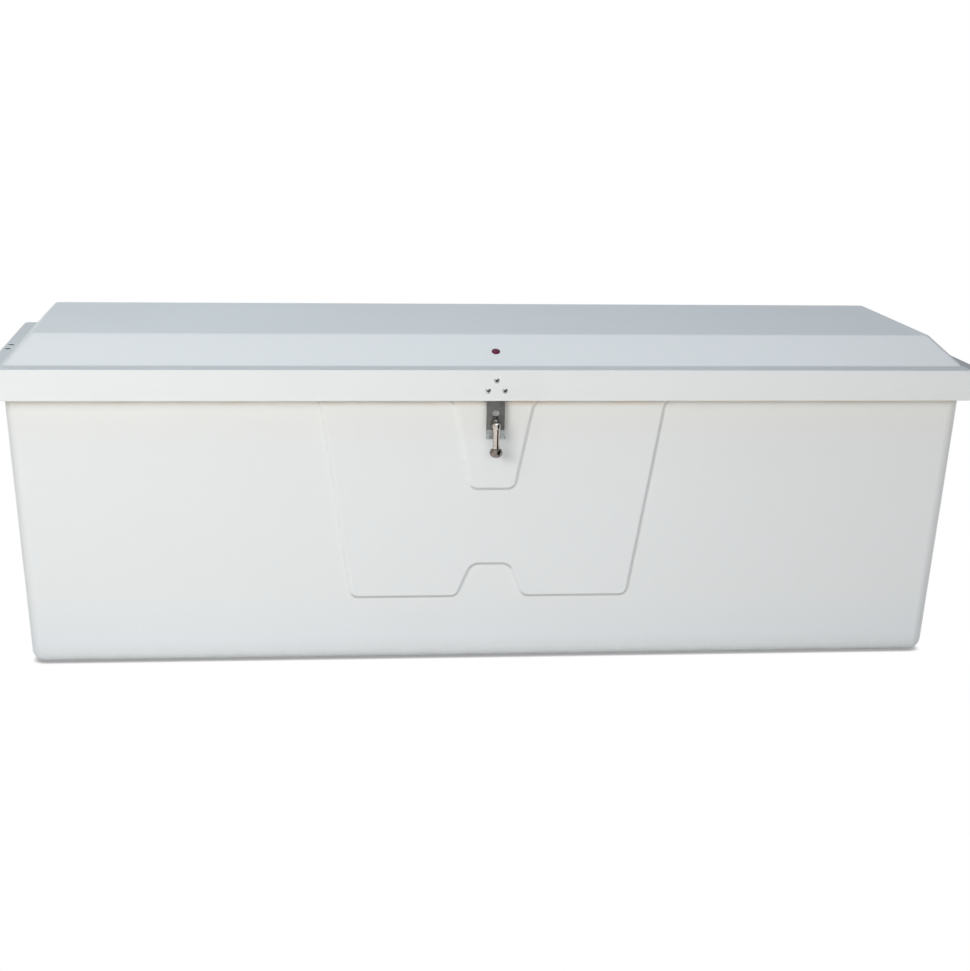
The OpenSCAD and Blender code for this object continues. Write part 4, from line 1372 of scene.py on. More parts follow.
@dataclass
class PopRivets:
    """Blind rivets: one is turned and copied to every place of a row."""

    head_r: float = 0.0052
    head_h: float = 0.0024
    shank_r: float = 0.0016
    tail_r: float = 0.0031
    tail_h: float = 0.004
    strap_y: float = -0.31305
    strap_at: Tuple[Station, ...] = ((-0.0155, 0.535), (0.0155, 0.535), (0.0, 0.554))
    strap_grip: float = 0.0087
    hinge_pitch: float = 0.1833333
    hinge_count: int = 9
    upper_at: Station = (0.3151, 0.539)
    lower_at: Station = (-0.027, 0.0021)
    hinge_grip: float = 0.0081
    latch_half: float = 0.0065
    latch_at: Station = (-0.024, 0.0191)
    latch_grip: float = 0.0101
    bracket_half: float = 0.0198
    bracket_back: float = -0.0062
    bracket_grip: float = 0.0092

    def one(self, grip: float) -> Workpiece:
        """Turns one rivet with its head on top of Z = 0.

        Args:
            grip: thickness that it holds.

        Returns:
            The rivet.
        """
        r, h = self.head_r, self.head_h
        back = -grip - 0.0001
        stations = [(back - self.tail_h, 0.0006), (back - self.tail_h, 0.0016), (back - 0.0032, 0.0030),
                    (back - 0.0016, self.tail_r), (back, self.tail_r * 0.9), (back, self.shank_r),
                    (0.0, self.shank_r), (0.0, r * 0.96), (0.0002, r), (0.0006, r), (h * 0.62, r * 0.82),
                    (h * 0.9, r * 0.60), (h, r * 0.50), (h * 0.97, r * 0.43), (h * 0.52, r * 0.38),
                    (h * 0.44, r * 0.29), (h * 0.54, r * 0.22), (h * 0.60, r * 0.05)]
        rivet = Workpiece.lathe("rivet", stations, 24)
        rivet.dress(MANDREL, lambda p, n: p.z > h * 0.3 and p.xy.length < r * 0.44)
        return rivet

    def row(self, name: str, places: Sequence[Matrix], grip: float, body: Body, node: str) -> None:
        """Copies the rivet to its places and delivers the row.

        Args:
            name: name of the piece.
            places: frame of each rivet, Z out of the riveted face.
            grip: thickness that they hold.
            body: what they ride on.
            node: the CAD node that they stand for.
        """
        master = self.one(grip)
        copies = [master.copy(f"rivet_{i}").place(place) for i, place in enumerate(places[1:])]
        master.place(places[0])
        master.obj.name = master.obj.data.name = name
        master.gather(copies).shade(40, weighted=False)
        master.deliver(body.value, Slot.STAINLESS, RIVET_STEEL, node)

    def build(self) -> None:
        """Places every row of rivets."""
        move = Matrix.Translation
        self.row("strap_rivets", [move((x, self.strap_y, z)) @ TO_MINUS_Y for x, z in self.strap_at],
                 self.strap_grip, Body.LID, "hasp_rivets")
        xs = [(i - self.hinge_count // 2) * self.hinge_pitch for i in range(self.hinge_count)]
        self.row("upper_hinge_rivets", [move((x, *self.upper_at)) @ TO_PLUS_Y for x in xs],
                 self.hinge_grip, Body.LID, "hinge_lid_rivets")
        self.row("lower_hinge_rivets", [REAR @ move((x, *self.lower_at)) for x in xs],
                 self.hinge_grip, Body.TUB, "hinge_body_rivets")
        self.row("latch_base_rivets", [LATCH @ move((s * self.latch_half, *self.latch_at)) for s in (-1, 1)],
                 self.latch_grip, Body.TUB, "latch_rivets")
        for side in Side:
            places = [end_wall(side) @ move((s * self.bracket_half, 0, self.bracket_back))
                      @ Matrix.Rotation(math.pi, 4, "X") for s in (-1, 1)]
            self.row(f"strut_rivets_{side.word}", places, self.bracket_grip, Body.TUB,
                     f"spring_rivets_{side.word}")


@dataclass
class LidScrews:
    """Pan-head screws with a cross recess that hold the lid brackets to the end stringers."""

    head_r: float = 0.0052
    head_h: float = 0.0024
    shank_r: float = 0.0016
    slot_half: Station = (0.0005, 0.0024)
    slot_deep: float = 0.0014
    seat_x: float = 0.8445
    pitch: float = 0.0396

    def build(self) -> None:
        """Turns one screw, cuts its recess and copies it to both sides."""
        r, h = self.head_r, self.head_h
        screw = Workpiece.lathe("screw", [
            (-0.0158, 0.0004), (-0.0120, self.shank_r), (0.0, self.shank_r), (0.0, r * 0.96), (0.0003, r),
            (h * 0.45, r * 0.97), (h * 0.82, r * 0.80), (h, r * 0.52), (h, r * 0.1)], 24)
        across, along = self.slot_half
        for turn in (0.0, QUARTER):
            slot = Workpiece.block("slot", (-across, -along, h - self.slot_deep), (across, along, h + 0.001))
            screw.blend(slot.place(Matrix.Rotation(turn, 4, "Z")), Blend.CUT)
        y, z = HIGH_PIVOT
        for side in Side:
            turned = Matrix.Rotation(side.value * QUARTER, 4, "Y")
            pair = [screw.copy(name).place(
                Matrix.Translation((side.value * self.seat_x, y + s * self.pitch / 2, z)) @ turned)
                for name, s in ((f"lid_bracket_screws_{side.word}", -1), ("second", 1))]
            pair[0].gather(pair[1:]).shade(40, weighted=False)
            pair[0].deliver(Body.LID.value, Slot.STAINLESS, STAINLESS, f"lid_screws_{side.word}")
        bpy.data.objects.remove(screw.obj, do_unlink=True)


@dataclass
class LidPlug:
    """Dark red snap-in plug with a domed head in the lid's front slope."""

    place: Triple = (0.006, -0.2352, 0.5965)
    slope: float = 30.76
    head_r: float = 0.008
    head_h: float = 0.003

    def build(self) -> None:
        """Turns the plug and delivers it."""
        r, h = self.head_r, self.head_h
        plug = Workpiece.lathe("red_plug", [
            (-0.0100, 0.0030), (-0.0098, 0.0034), (-0.0062, 0.0050), (-0.0061, 0.0040), (0.0001, 0.0040),
            (0.0001, r * 0.97), (0.0004, r), (0.0009, r * 0.985), (h * 0.55, r * 0.80), (h * 0.72, r * 0.68),
            (h * 0.70, r * 0.63), (h * 0.78, r * 0.58), (h * 0.95, r * 0.32), (h, r * 0.06)], 40)
        plug.place(Matrix.Translation(self.place) @ Matrix.Rotation(math.radians(self.slope), 4, "X"))
        plug.shade(40, weighted=False).deliver(Body.LID.value, Slot.RED, RED, "lid_plug")


# ---------------------------------------------------------------- rear hinge

@dataclass
class RearHinge:
    """Full-length hinge: two sheet leaves whose knuckles are rolled round one pin."""

    half: float = 0.825
    axis: Station = (0.3175, 0.512)
    knuckle: float = 0.0495
    pitch: float = 0.050
    count: int = 33
    roll: float = -305.0
    sheet: float = 0.002
    edge: float = 0.0005
    upper_y: float = 0.3131
    upper_z: Station = (0.517, 0.554)
    upper_tab: float = 0.0062
    lower_off: float = 0.0001
    lower_span: Station = (-0.0462, -0.0066)
    lower_tab: float = 0.0056
    web_y: Station = (0.2987, 0.3125)
    web_z: float = 0.5075
    pin_r: float = 0.0023
    pin_tip: Station = (0.00175, 0.00075)
    pin_over: float = 0.001
    pin_edge: float = 0.0006

    def rolled(self, name: str, start: Station, tab: Triple, turn: float, first: int) -> Workpiece:
        """Rolls one knuckle from the edge of a sheet and repeats it along the hinge.

        Args:
            name: name of the piece.
            start: middle of the sheet's edge, in Y and Z.
            tab: step back to the leaf.
            turn: rotation of the edge's plane about X.
            first: number of the first knuckle.

        Returns:
            The row of knuckles.
        """
        Workpiece.clear()
        x = -self.half + first * self.pitch + self.pitch / 2
        bpy.ops.mesh.primitive_plane_add(size=1.0, location=(x, *start), rotation=(turn, 0, 0))
        roll = Workpiece(name, (self.knuckle, self.sheet, 1.0))
        roll.edit()
        bpy.ops.mesh.select_all(action="SELECT")
        bpy.ops.mesh.spin(steps=24, angle=math.radians(self.roll), center=(x, *self.axis), axis=(1, 0, 0))
        roll.pick(Pick.FACE, lambda p, n: (p - Vector((x, *start))).length < 1e-5)
        roll.extrude(tab)
        roll.merge().face_out()
        return roll.modify("ARRAY", count=(self.count - first + 1) // 2, use_relative_offset=False,
                           use_constant_offset=True, constant_offset_displace=(2 * self.pitch, 0, 0))

    def build(self) -> None:
        """Builds both leaves and the pin and delivers them."""
        half, flat = self.half, self.sheet / 2
        axis_y, axis_z = self.axis
        upper = Workpiece.block("hinge_upper_leaf", (-half, self.upper_y, self.upper_z[0]),
                                (half, self.upper_y + self.sheet, self.upper_z[1]))
        upper.soften(self.edge)
        upper.blend(self.rolled("upper_knuckles", (self.upper_y + flat, axis_z),
                                (0, 0, self.upper_tab), 0.0, 1), Blend.ADD)
        upper.shade(30).deliver(Body.LID.value, Slot.STAINLESS, STAINLESS, "hinge_lid_leaf")
        lower = Workpiece.block("hinge_lower_leaf", (-half, self.lower_span[0], self.lower_off),
                                (half, self.lower_span[1], self.lower_off + self.sheet))
        lower.soften(self.edge).place(REAR)
        lower.blend(Workpiece.block("web", (-half, self.web_y[0], self.web_z),
                                    (half, self.web_y[1], self.web_z + self.sheet)), Blend.ADD)
        lower.blend(self.rolled("lower_knuckles", (axis_y, self.web_z + flat),
                                (0, -self.lower_tab, 0), QUARTER, 0), Blend.ADD)
        lower.shade(30).deliver(Body.TUB.value, Slot.STAINLESS, STAINLESS, "hinge_body_leaf")
        end, (wide, fine) = half + self.pin_over, self.pin_tip
        pin = Workpiece.lathe("hinge_rod", [
            (-end, fine), (-end, wide), (-end + self.pin_edge, self.pin_r),
            (end - self.pin_edge, self.pin_r), (end, wide), (end, fine)], 24)
        pin.place(Matrix.Translation((0, axis_y, axis_z)) @ TO_PLUS_X)
        pin.shade(40, weighted=False).deliver(Body.TUB.value, Slot.STAINLESS, STAINLESS, "hinge_pin")


# ---------------------------------------------------------------- gas springs

@dataclass
class GasSpring:
    """One gas spring with its tube, rod, eyes and the brackets at both ends."""

    side: Side
    x: float = 0.855
    shut: float = 0.2941
    tilt: float = 17.0
    tube_r: float = 0.009
    rod_r: float = 0.004
    neck_r: float = 0.0056
    eye_r: float = 0.010
    eye_half: float = 0.006
    eye_edge: float = 0.0008
    eye_play: float = 0.0005
    stud_r: float = 0.005
    stud_edge: float = 0.0006
    head_r: float = 0.008
    head_t: float = 0.003
    rib_x: float = 0.8415
    plate_half: Station = (0.028, 0.018)
    plate_t: float = 0.003
    plate_r: float = 0.006
    plate_edge: float = 0.0004

    def frame(self) -> Matrix:
        """Frame at the tub's pivot, with Z towards the lid's pivot."""
        return (Matrix.Translation((self.side.value * self.x, *LOW_PIVOT))
                @ Matrix.Rotation(math.radians(self.tilt), 4, "X"))

    def eye(self, z: float) -> Workpiece:
        """Turns a round eye that lies across the spring.

        Args:
            z: how far along the spring it sits.

        Returns:
            The eye.
        """
        w, r, e, bore = self.eye_half, self.eye_r, self.eye_edge, self.stud_r + 0.0001
        hoop = Workpiece.lathe("eye", [(-w, bore), (-w, r - e), (-w + e, r), (w - e, r), (w, r - e),
                                       (w, bore), (-w, bore)], 40)
        return hoop.place(Matrix.Translation((0, 0, z)) @ TO_PLUS_X)

    def build(self) -> None:
        """Builds tube, rod and brackets and delivers them."""
        s, word, r, rod, neck_r = self.side.value, self.side.word, self.tube_r, self.rod_r, self.neck_r
        tube = Workpiece.lathe(f"strut_tube_{word}", [
            (0.0074, neck_r), (0.0142, neck_r), (0.0150, 0.0064), (0.0158, 0.0082), (0.0172, r), (0.2580, r),
            (0.2588, r - 0.0006), (0.2598, r - 0.0006), (0.2606, r), (0.2668, r), (0.2684, r - 0.0007),
            (0.2691, r - 0.0022), (0.2691, rod + 0.0006), (0.2686, rod + 0.0002), (0.2620, rod + 0.0002),
            (0.2620, r - 0.0014), (0.0190, r - 0.0014)], 36)
        tube.blend(self.eye(0.0), Blend.ADD)
        tube.shade(35).place(self.frame())
        tube.deliver(f"spring_tube_{word}", Slot.BLACK, BLACK, f"spring_tube_{word}")
        neck = self.shut - 0.015
        bar = Workpiece.lathe(f"strut_rod_{word}", [
            (0.0222, rod * 0.8), (0.0226, rod), (neck - 0.0012, rod), (neck - 0.0010, 0.0048), (neck, neck_r),
            (self.shut - 0.0074, neck_r)], 32)
        bar.blend(self.eye(self.shut), Blend.ADD)
        bar.shade(35).place(self.frame())
        bar.deliver(f"spring_rod_{word}", Slot.CHROME, CHROME, f"spring_rod_{word}")
        tub_plate = self.plate(f"strut_wall_bracket_{word}").place(end_wall(self.side))
        self.stud(tub_plate, END_WALL_X, -1, LOW_PIVOT)
        tub_plate.shade(35).deliver(Body.TUB.value, Slot.STAINLESS, STAINLESS, f"spring_bracket_{word}")
        lid_plate = self.plate(f"strut_lid_bracket_{word}").place(
            Matrix.Translation((s * self.rib_x, *HIGH_PIVOT))
            @ Matrix.Rotation(s * QUARTER, 4, "Y") @ Matrix.Rotation(QUARTER, 4, "Z"))
        self.stud(lid_plate, self.rib_x, 1, HIGH_PIVOT)
        lid_plate.shade(35).deliver(Body.LID.value, Slot.STAINLESS, STAINLESS, f"lid_bracket_{word}")

    def plate(self, name: str) -> Workpiece:
        """Makes a bracket plate with round corners, on Z = 0.

        Args:
            name: name of the piece.

        Returns:
            The plate.
        """
        x, y = self.plate_half
        plate = Workpiece.rounded_block(name, (-x, -y, 0.0), (x, y, self.plate_t), self.plate_r, 6)
        return plate.soften(self.plate_edge, 2, 50)

    def stud(self, plate: Workpiece, base: float, way: int, pivot: Station) -> None:
        """Adds the pivot stud to a plate, with a shoulder before the eye and a head behind it.

        Args:
            plate: the plate, in its place.
            base: distance of its seat from the middle of the box.
            way: 1 for a stud that points out of the box, or -1 for one that points in.
            pivot: Y and Z of the stud.
        """
        s, gap = self.side.value, self.eye_half + self.eye_play
        t, r, big, e = s * way, self.stud_r, self.head_r, self.stud_edge
        root, near = s * (base + way * self.plate_t / 2), s * (self.x - way * gap)
        far, end = s * (self.x + way * gap), s * (self.x + way * (gap + self.head_t))
        stud = Workpiece.lathe("stud", [
            (root, big), (near - t * e, big), (near, big - e), (near, r), (far, r), (far, big - e),
            (far + t * e, big), (end - t * 0.0009, big), (end, big - 0.0014), (end, 0.001)], 32)
        plate.blend(stud.place(TO_PLUS_X).place(Matrix.Translation((0, *pivot))), Blend.ADD)


# ---------------------------------------------------------------- latch

@dataclass
class HaspStrap:
    """Sheet-steel strap behind the lip, with a sight hole, an open keyhole and two flared prongs."""

    back: float = -0.3044
    face: float = -0.3069
    head_half: float = 0.027
    head_low: float = 0.514
    head_high: float = 0.564
    head_r: float = 0.006
    half: float = 0.017
    edge: float = 0.00045
    fork_z: float = 0.46198
    seat_z: float = 0.47198
    seat_r: float = 0.0095
    throat: float = 0.005
    slot: float = 0.0045
    sight_z: float = 0.49198
    sight_r: float = 0.0065
    prong_x: float = 0.013
    prong_half: float = 0.0045
    prong_len: float = 0.018
    prong_share: float = 0.96
    bend: float = 0.0040
    bend_steps: int = 6
    flare: float = 28.0
    bead_r: float = 0.0028
    bead_half: float = 0.0051
    bead_edge: float = 0.0018
    bead_up: float = 0.0016
    worn_below: float = 0.0012

    def build(self) -> None:
        """Cuts the strap, bends its prongs and delivers it."""
        strap = Workpiece.block("hasp_strap", (-self.head_half, self.face, self.head_low),
                                (self.head_half, self.back, self.head_high))
        strap.round_edges(lambda p, d: abs(d.y) > 0.9, self.head_r, 6)
        strap.blend(Workpiece.block("tongue", (-self.half, self.face, self.fork_z),
                                    (self.half, self.back, self.head_low + OVER)), Blend.ADD)
        front, rear = self.face - OVER, self.back + OVER
        for z, r in ((self.sight_z, self.sight_r), (self.seat_z, self.seat_r)):
            hole = Workpiece.bar("hole", r, -THROUGH, THROUGH, 40)
            strap.blend(hole.place(Matrix.Translation((0, self.face, z)) @ TO_MINUS_Y), Blend.CUT)
        for name, half, low, high in (("slot", self.slot, self.seat_z, self.sight_z),
                                      ("throat", self.throat, self.fork_z - OVER, self.seat_z)):
            strap.blend(Workpiece.block(name, (-half, front, low), (half, rear, high)), Blend.CUT)
        strap.tidy()
        tip = self.prongs(strap)
        strap.soften(self.edge, 2, 40)
        self.curl(strap, tip)
        strap.tidy().shade(35)
        # The prongs get a lighter steel than the strap: painted light.
        strap.dress(LIT_PRONG_STEEL, lambda p, n: p.z < self.fork_z - self.worn_below)
        strap.deliver(Body.LID.value, Slot.STAINLESS, DARK_STAINLESS, "hasp_plate")

    @staticmethod
    def down(lean: float) -> Vector:
        """The direction of a prong that leans away from the wall by an angle."""
        return Vector((0.0, -math.sin(lean), -math.cos(lean)))

    def curl(self, strap: Workpiece, tip: Vector) -> None:
        """Rolls the end of each prong into a bead, so that it has no sharp edge.

        Args:
            strap: the strap with its prongs.
            tip: middle of the prongs' ends.
        """
        heart = tip - self.down(math.radians(self.flare)) * self.bead_up
        for side in Side:
            bead = Workpiece.bar("bead", self.bead_r, -self.bead_half, self.bead_half, 28)
            bead.round_edges(lambda p, d: abs(abs(p.z) - self.bead_half) < 1e-5, self.bead_edge, 4)
            place = Matrix.Translation((side.value * self.prong_x, heart.y, heart.z))
            strap.blend(bead.place(place @ TO_PLUS_X), Blend.ADD)

    def prongs(self, strap: Workpiece) -> Vector:
        """Draws the two feet of the fork out into rounded prongs that curve away from the wall.

        Args:
            strap: the strap with its fork.

        Returns:
            The middle of the prongs' ends.
        """
        steps = self.bend_steps
        strap.pick(Pick.FACE, lambda p, n: n.z < -0.9 and abs(p.z - self.fork_z) < NEAR)
        place = Vector((0.0, (self.face + self.back) / 2, self.fork_z))
        for i in range(steps + 1):
            length = self.bend / steps if i < steps else self.prong_len - self.bend
            step = self.down(math.radians(self.flare * min(i + 0.5, steps) / steps)) * length
            strap.extrude(step)
            place += step
            if i < steps:
                bpy.ops.transform.rotate(value=math.radians(self.flare / steps), orient_axis="X",
                                         center_override=tuple(place))
            if i == 0:
                self.slim(strap, place)
                strap.pick(Pick.FACE, lambda p, n: n.z < -0.6 and abs(p.z - place.z) < 2e-3
                           and p.z < self.fork_z - NEAR)
        along = self.down(math.radians(self.flare))
        strap.round_edges(lambda p, d: abs(d.x) < 0.1 and p.z < place.z + 0.002
                          and abs((p - place).dot(along)) < 2 * NEAR, self.prong_half * self.prong_share, 6)
        return place

    def slim(self, strap: Workpiece, place: Vector) -> None:
        """Narrows the foot of each prong to its own width.

        Args:
            strap: the strap with its prongs begun.
            place: middle of the prongs' ends so far.
        """
        full, middle = (self.half - self.throat) / 2, (self.half + self.throat) / 2
        for s in (-1, 1):
            strap.pick(Pick.VERT, lambda p, n: p.x * s > 0 and abs(p.z - place.z) < 1.2e-3
                       and p.z < self.fork_z - NEAR)
            strap.resize((self.prong_half / full, 1.0, 1.0), (s * middle, place.y, place.z))
            strap.move((s * (self.prong_x - middle), 0, 0))


@dataclass
class TurnLatch:
    """Cast base, turning lever with its cam, ball, washer and nut."""

    pad_face: float = 0.015
    pad_inner: float = 0.009
    play: float = 0.0001
    boss_top: float = 0.02705
    boss_r: float = 0.010
    boss_edge: float = 0.001
    boss_fillet: float = 0.0015
    foot_half: float = 0.013
    foot_low: float = -0.0322
    foot_high: float = 0.011
    foot_t: float = 0.004
    foot_r: float = 0.005
    foot_edge: float = 0.0012
    shaft_r: float = 0.005
    shaft_end: float = -0.0030
    shaft_edge: float = 0.0008
    bore_r: float = 0.00506
    hub_back: float = 0.03705
    hub_r: float = 0.008
    out: float = 0.05249
    cam_half: float = 0.0045
    cam_len: float = 0.0085
    cam_edge: float = 0.0005
    lever_len: float = 0.050
    voxel: float = 0.00055
    ball_r: float = 0.012
    ball_low: float = 0.0094
    ball_turn: Station = (2.0, 128.0)
    ball_rings: int = 25
    seat: float = 0.0071
    washer_r: float = 0.013
    washer_bore: float = 0.0055
    washer_t: float = 0.002
    washer_edge: float = 0.0004
    nut_r: float = 0.009815
    nut_t: float = 0.006
    nut_off: float = 0.0023
    nut_edge: float = 0.0009

    def build(self) -> None:
        """Builds every piece of the latch and delivers it."""
        for make in (self.base, self.lever, self.ball, self.washer, self.nut):
            make()

    def base(self) -> None:
        """Casts the foot and its boss with a fillet between them."""
        low, top, r = self.pad_face + self.play, self.boss_top, self.boss_r
        high = low + self.foot_t
        base = Workpiece.rounded_block("latch_casting", (-self.foot_half, self.foot_low, low),
                                       (self.foot_half, self.foot_high, high), self.foot_r, 6)
        base.round_edges(at_height(high), self.foot_edge, 3)
        boss = Workpiece.lathe("boss", [(low, 0.006), (low, r), (top - self.boss_edge, r),
                                        (top, r - self.boss_edge), (top, 0.006)], 40)
        base.blend(boss, Blend.ADD)
        base.blend(Workpiece.bar("bore", self.bore_r, 0.0, 0.05), Blend.CUT)
        base.round_edges(lambda p, d: abs(p.z - high) < TINY and abs(p.xy.length - r) < NEAR,
                         self.boss_fillet, 3)
        base.place(LATCH).shade(35)
        base.deliver(Body.TUB.value, Slot.STAINLESS, DARK_STAINLESS, "latch_base")

    def lever(self) -> None:
        """Forges shaft, cam, hub and hanging lever into one piece with soft transitions."""
        back, out, hub, seat = self.hub_back, self.out, self.hub_r, self.lever_len - self.seat
        lever = Workpiece.lathe("latch_handle", [
            (back, 0.004), (back, hub - 0.0006), (back + 0.0006, hub), (out, hub),
            (out + hub * 0.5, hub * 0.866), (out + hub * 0.80, hub * 0.60),
            (out + hub * 0.95, hub * 0.31), (out + hub * 0.985, hub * 0.05)], 40)
        arm = Workpiece.lathe("arm", [
            (0.0, 0.0030), (0.0, 0.0068), (0.010, 0.0065), (0.020, 0.0063), (0.032, 0.0066),
            (seat - 0.004, 0.0071), (seat - 0.001, 0.0072), (seat - 0.0002, 0.0064), (seat - 0.0002, 0.0036),
            (self.lever_len - 0.002, 0.0034)], 32)
        lever.blend(arm.place(Matrix.Translation((0, 0, out)) @ TO_MINUS_Y), Blend.ADD)
        lever.modify("REMESH", mode="VOXEL", voxel_size=self.voxel)
        lever.modify("SMOOTH", factor=0.5, iterations=6)
        shaft = self.shaft()
        lever.shade(60, weighted=False)
        shaft.shade(35, weighted=False)
        lever.gather([shaft])
        lever.place(LATCH).deliver(Body.LEVER.value, Slot.POLISHED, POLISHED, "turn_lever")

    def shaft(self) -> Workpiece:
        """Turns the shaft and sets the flat cam on it.

        Returns:
            The shaft with its cam.
        """
        r, end, e, top = self.shaft_r - 0.00005, self.shaft_end, self.shaft_edge, self.boss_top + 0.0006
        shaft = Workpiece.lathe("shaft", [
            (end, 0.001), (end, r - e), (end + e, r), (top, r), (top, 0.001)], 32)
        cam = Workpiece.bar("cam", self.cam_len, self.boss_top + 0.0005, self.hub_back + 0.001, 48)
        for low, high in ((-0.03, -self.cam_half), (self.cam_half, 0.03)):
            cam.blend(Workpiece.block("flat", (low, -0.03, 0.0), (high, 0.03, 0.06)), Blend.CUT)
        cam.soften(self.cam_edge, 2, 40)
        return shaft.blend(cam, Blend.ADD)

    def ball(self) -> None:
        """Turns the ball at the lever's end, with a flat seat towards the lever."""
        r, seat = self.ball_r, self.seat
        start, stop = self.ball_turn
        points: List[Station] = []
        for i in range(self.ball_rings):
            a = math.radians(start + i * (stop - start) / (self.ball_rings - 1))
            z = -(self.ball_low if a < QUARTER else r) * math.cos(a)
            if z < seat - 0.0006:
                points.append((z, r * math.sin(a)))
        rim = math.sqrt(r * r - seat * seat)
        points += [(seat - 0.0004, rim), (seat, rim - 0.0005), (seat, 0.0072), (seat - 0.0008, 0.0068),
                   (seat - 0.0008, 0.0037), (-0.001, 0.0037)]
        ball = Workpiece.lathe("latch_ball", points, 48)
        ball.place(LATCH @ Matrix.Translation((0, -self.lever_len, self.out)) @ TO_PLUS_Y)
        # The knob wears the darker copy of the lever's steel: painted shade.
        ball.shade(40, weighted=False).deliver(Body.LEVER.value, Slot.POLISHED, SHADED_KNOB_STEEL, "lever_knob")

    def washer(self) -> None:
        """Turns the washer behind the pad."""
        z1 = self.pad_inner - self.play
        z0, r, e, bore = z1 - self.washer_t, self.washer_r, self.washer_edge, self.washer_bore
        ring = Workpiece.lathe("shaft_washer", [
            (z0, bore), (z0, r - e), (z0 + e, r), (z1 - e, r), (z1, r - e), (z1, bore), (z0, bore)], 40)
        ring.place(LATCH).shade(35).deliver(Body.TUB.value, Slot.STAINLESS, STAINLESS, "latch_washer")

    def nut(self) -> None:
        """Makes the hexagon nut with turned corners and a bore."""
        z1 = self.pad_inner - self.nut_off
        z0 = z1 - self.nut_t
        nut = Workpiece.bar("shaft_nut", self.nut_r, z0, z1, 6)
        nut.blend(Workpiece.bar("bore", self.bore_r, z0 - OVER, z1 + OVER), Blend.CUT)
        nut.round_edges(lambda p, d: p.xy.length > 0.007 and abs(d.z) < 0.1, self.nut_edge, 2)
        nut.place(LATCH @ Matrix.Rotation(math.pi / 6, 4, "Z")).shade(25)
        nut.deliver(Body.LEVER.value, Slot.STAINLESS, STAINLESS, "latch_nut")


# ---------------------------------------------------------------- studio

@dataclass(frozen=True)
class Lamp:
    """A soft rectangular lamp: its size in metres, its power in watts, and whether gloss mirrors it."""

    name: str
    place: Triple
    width: float
    height: float
    power: float
    colour: Triple = (1.0, 1.0, 1.0)
    mirrored: bool = False


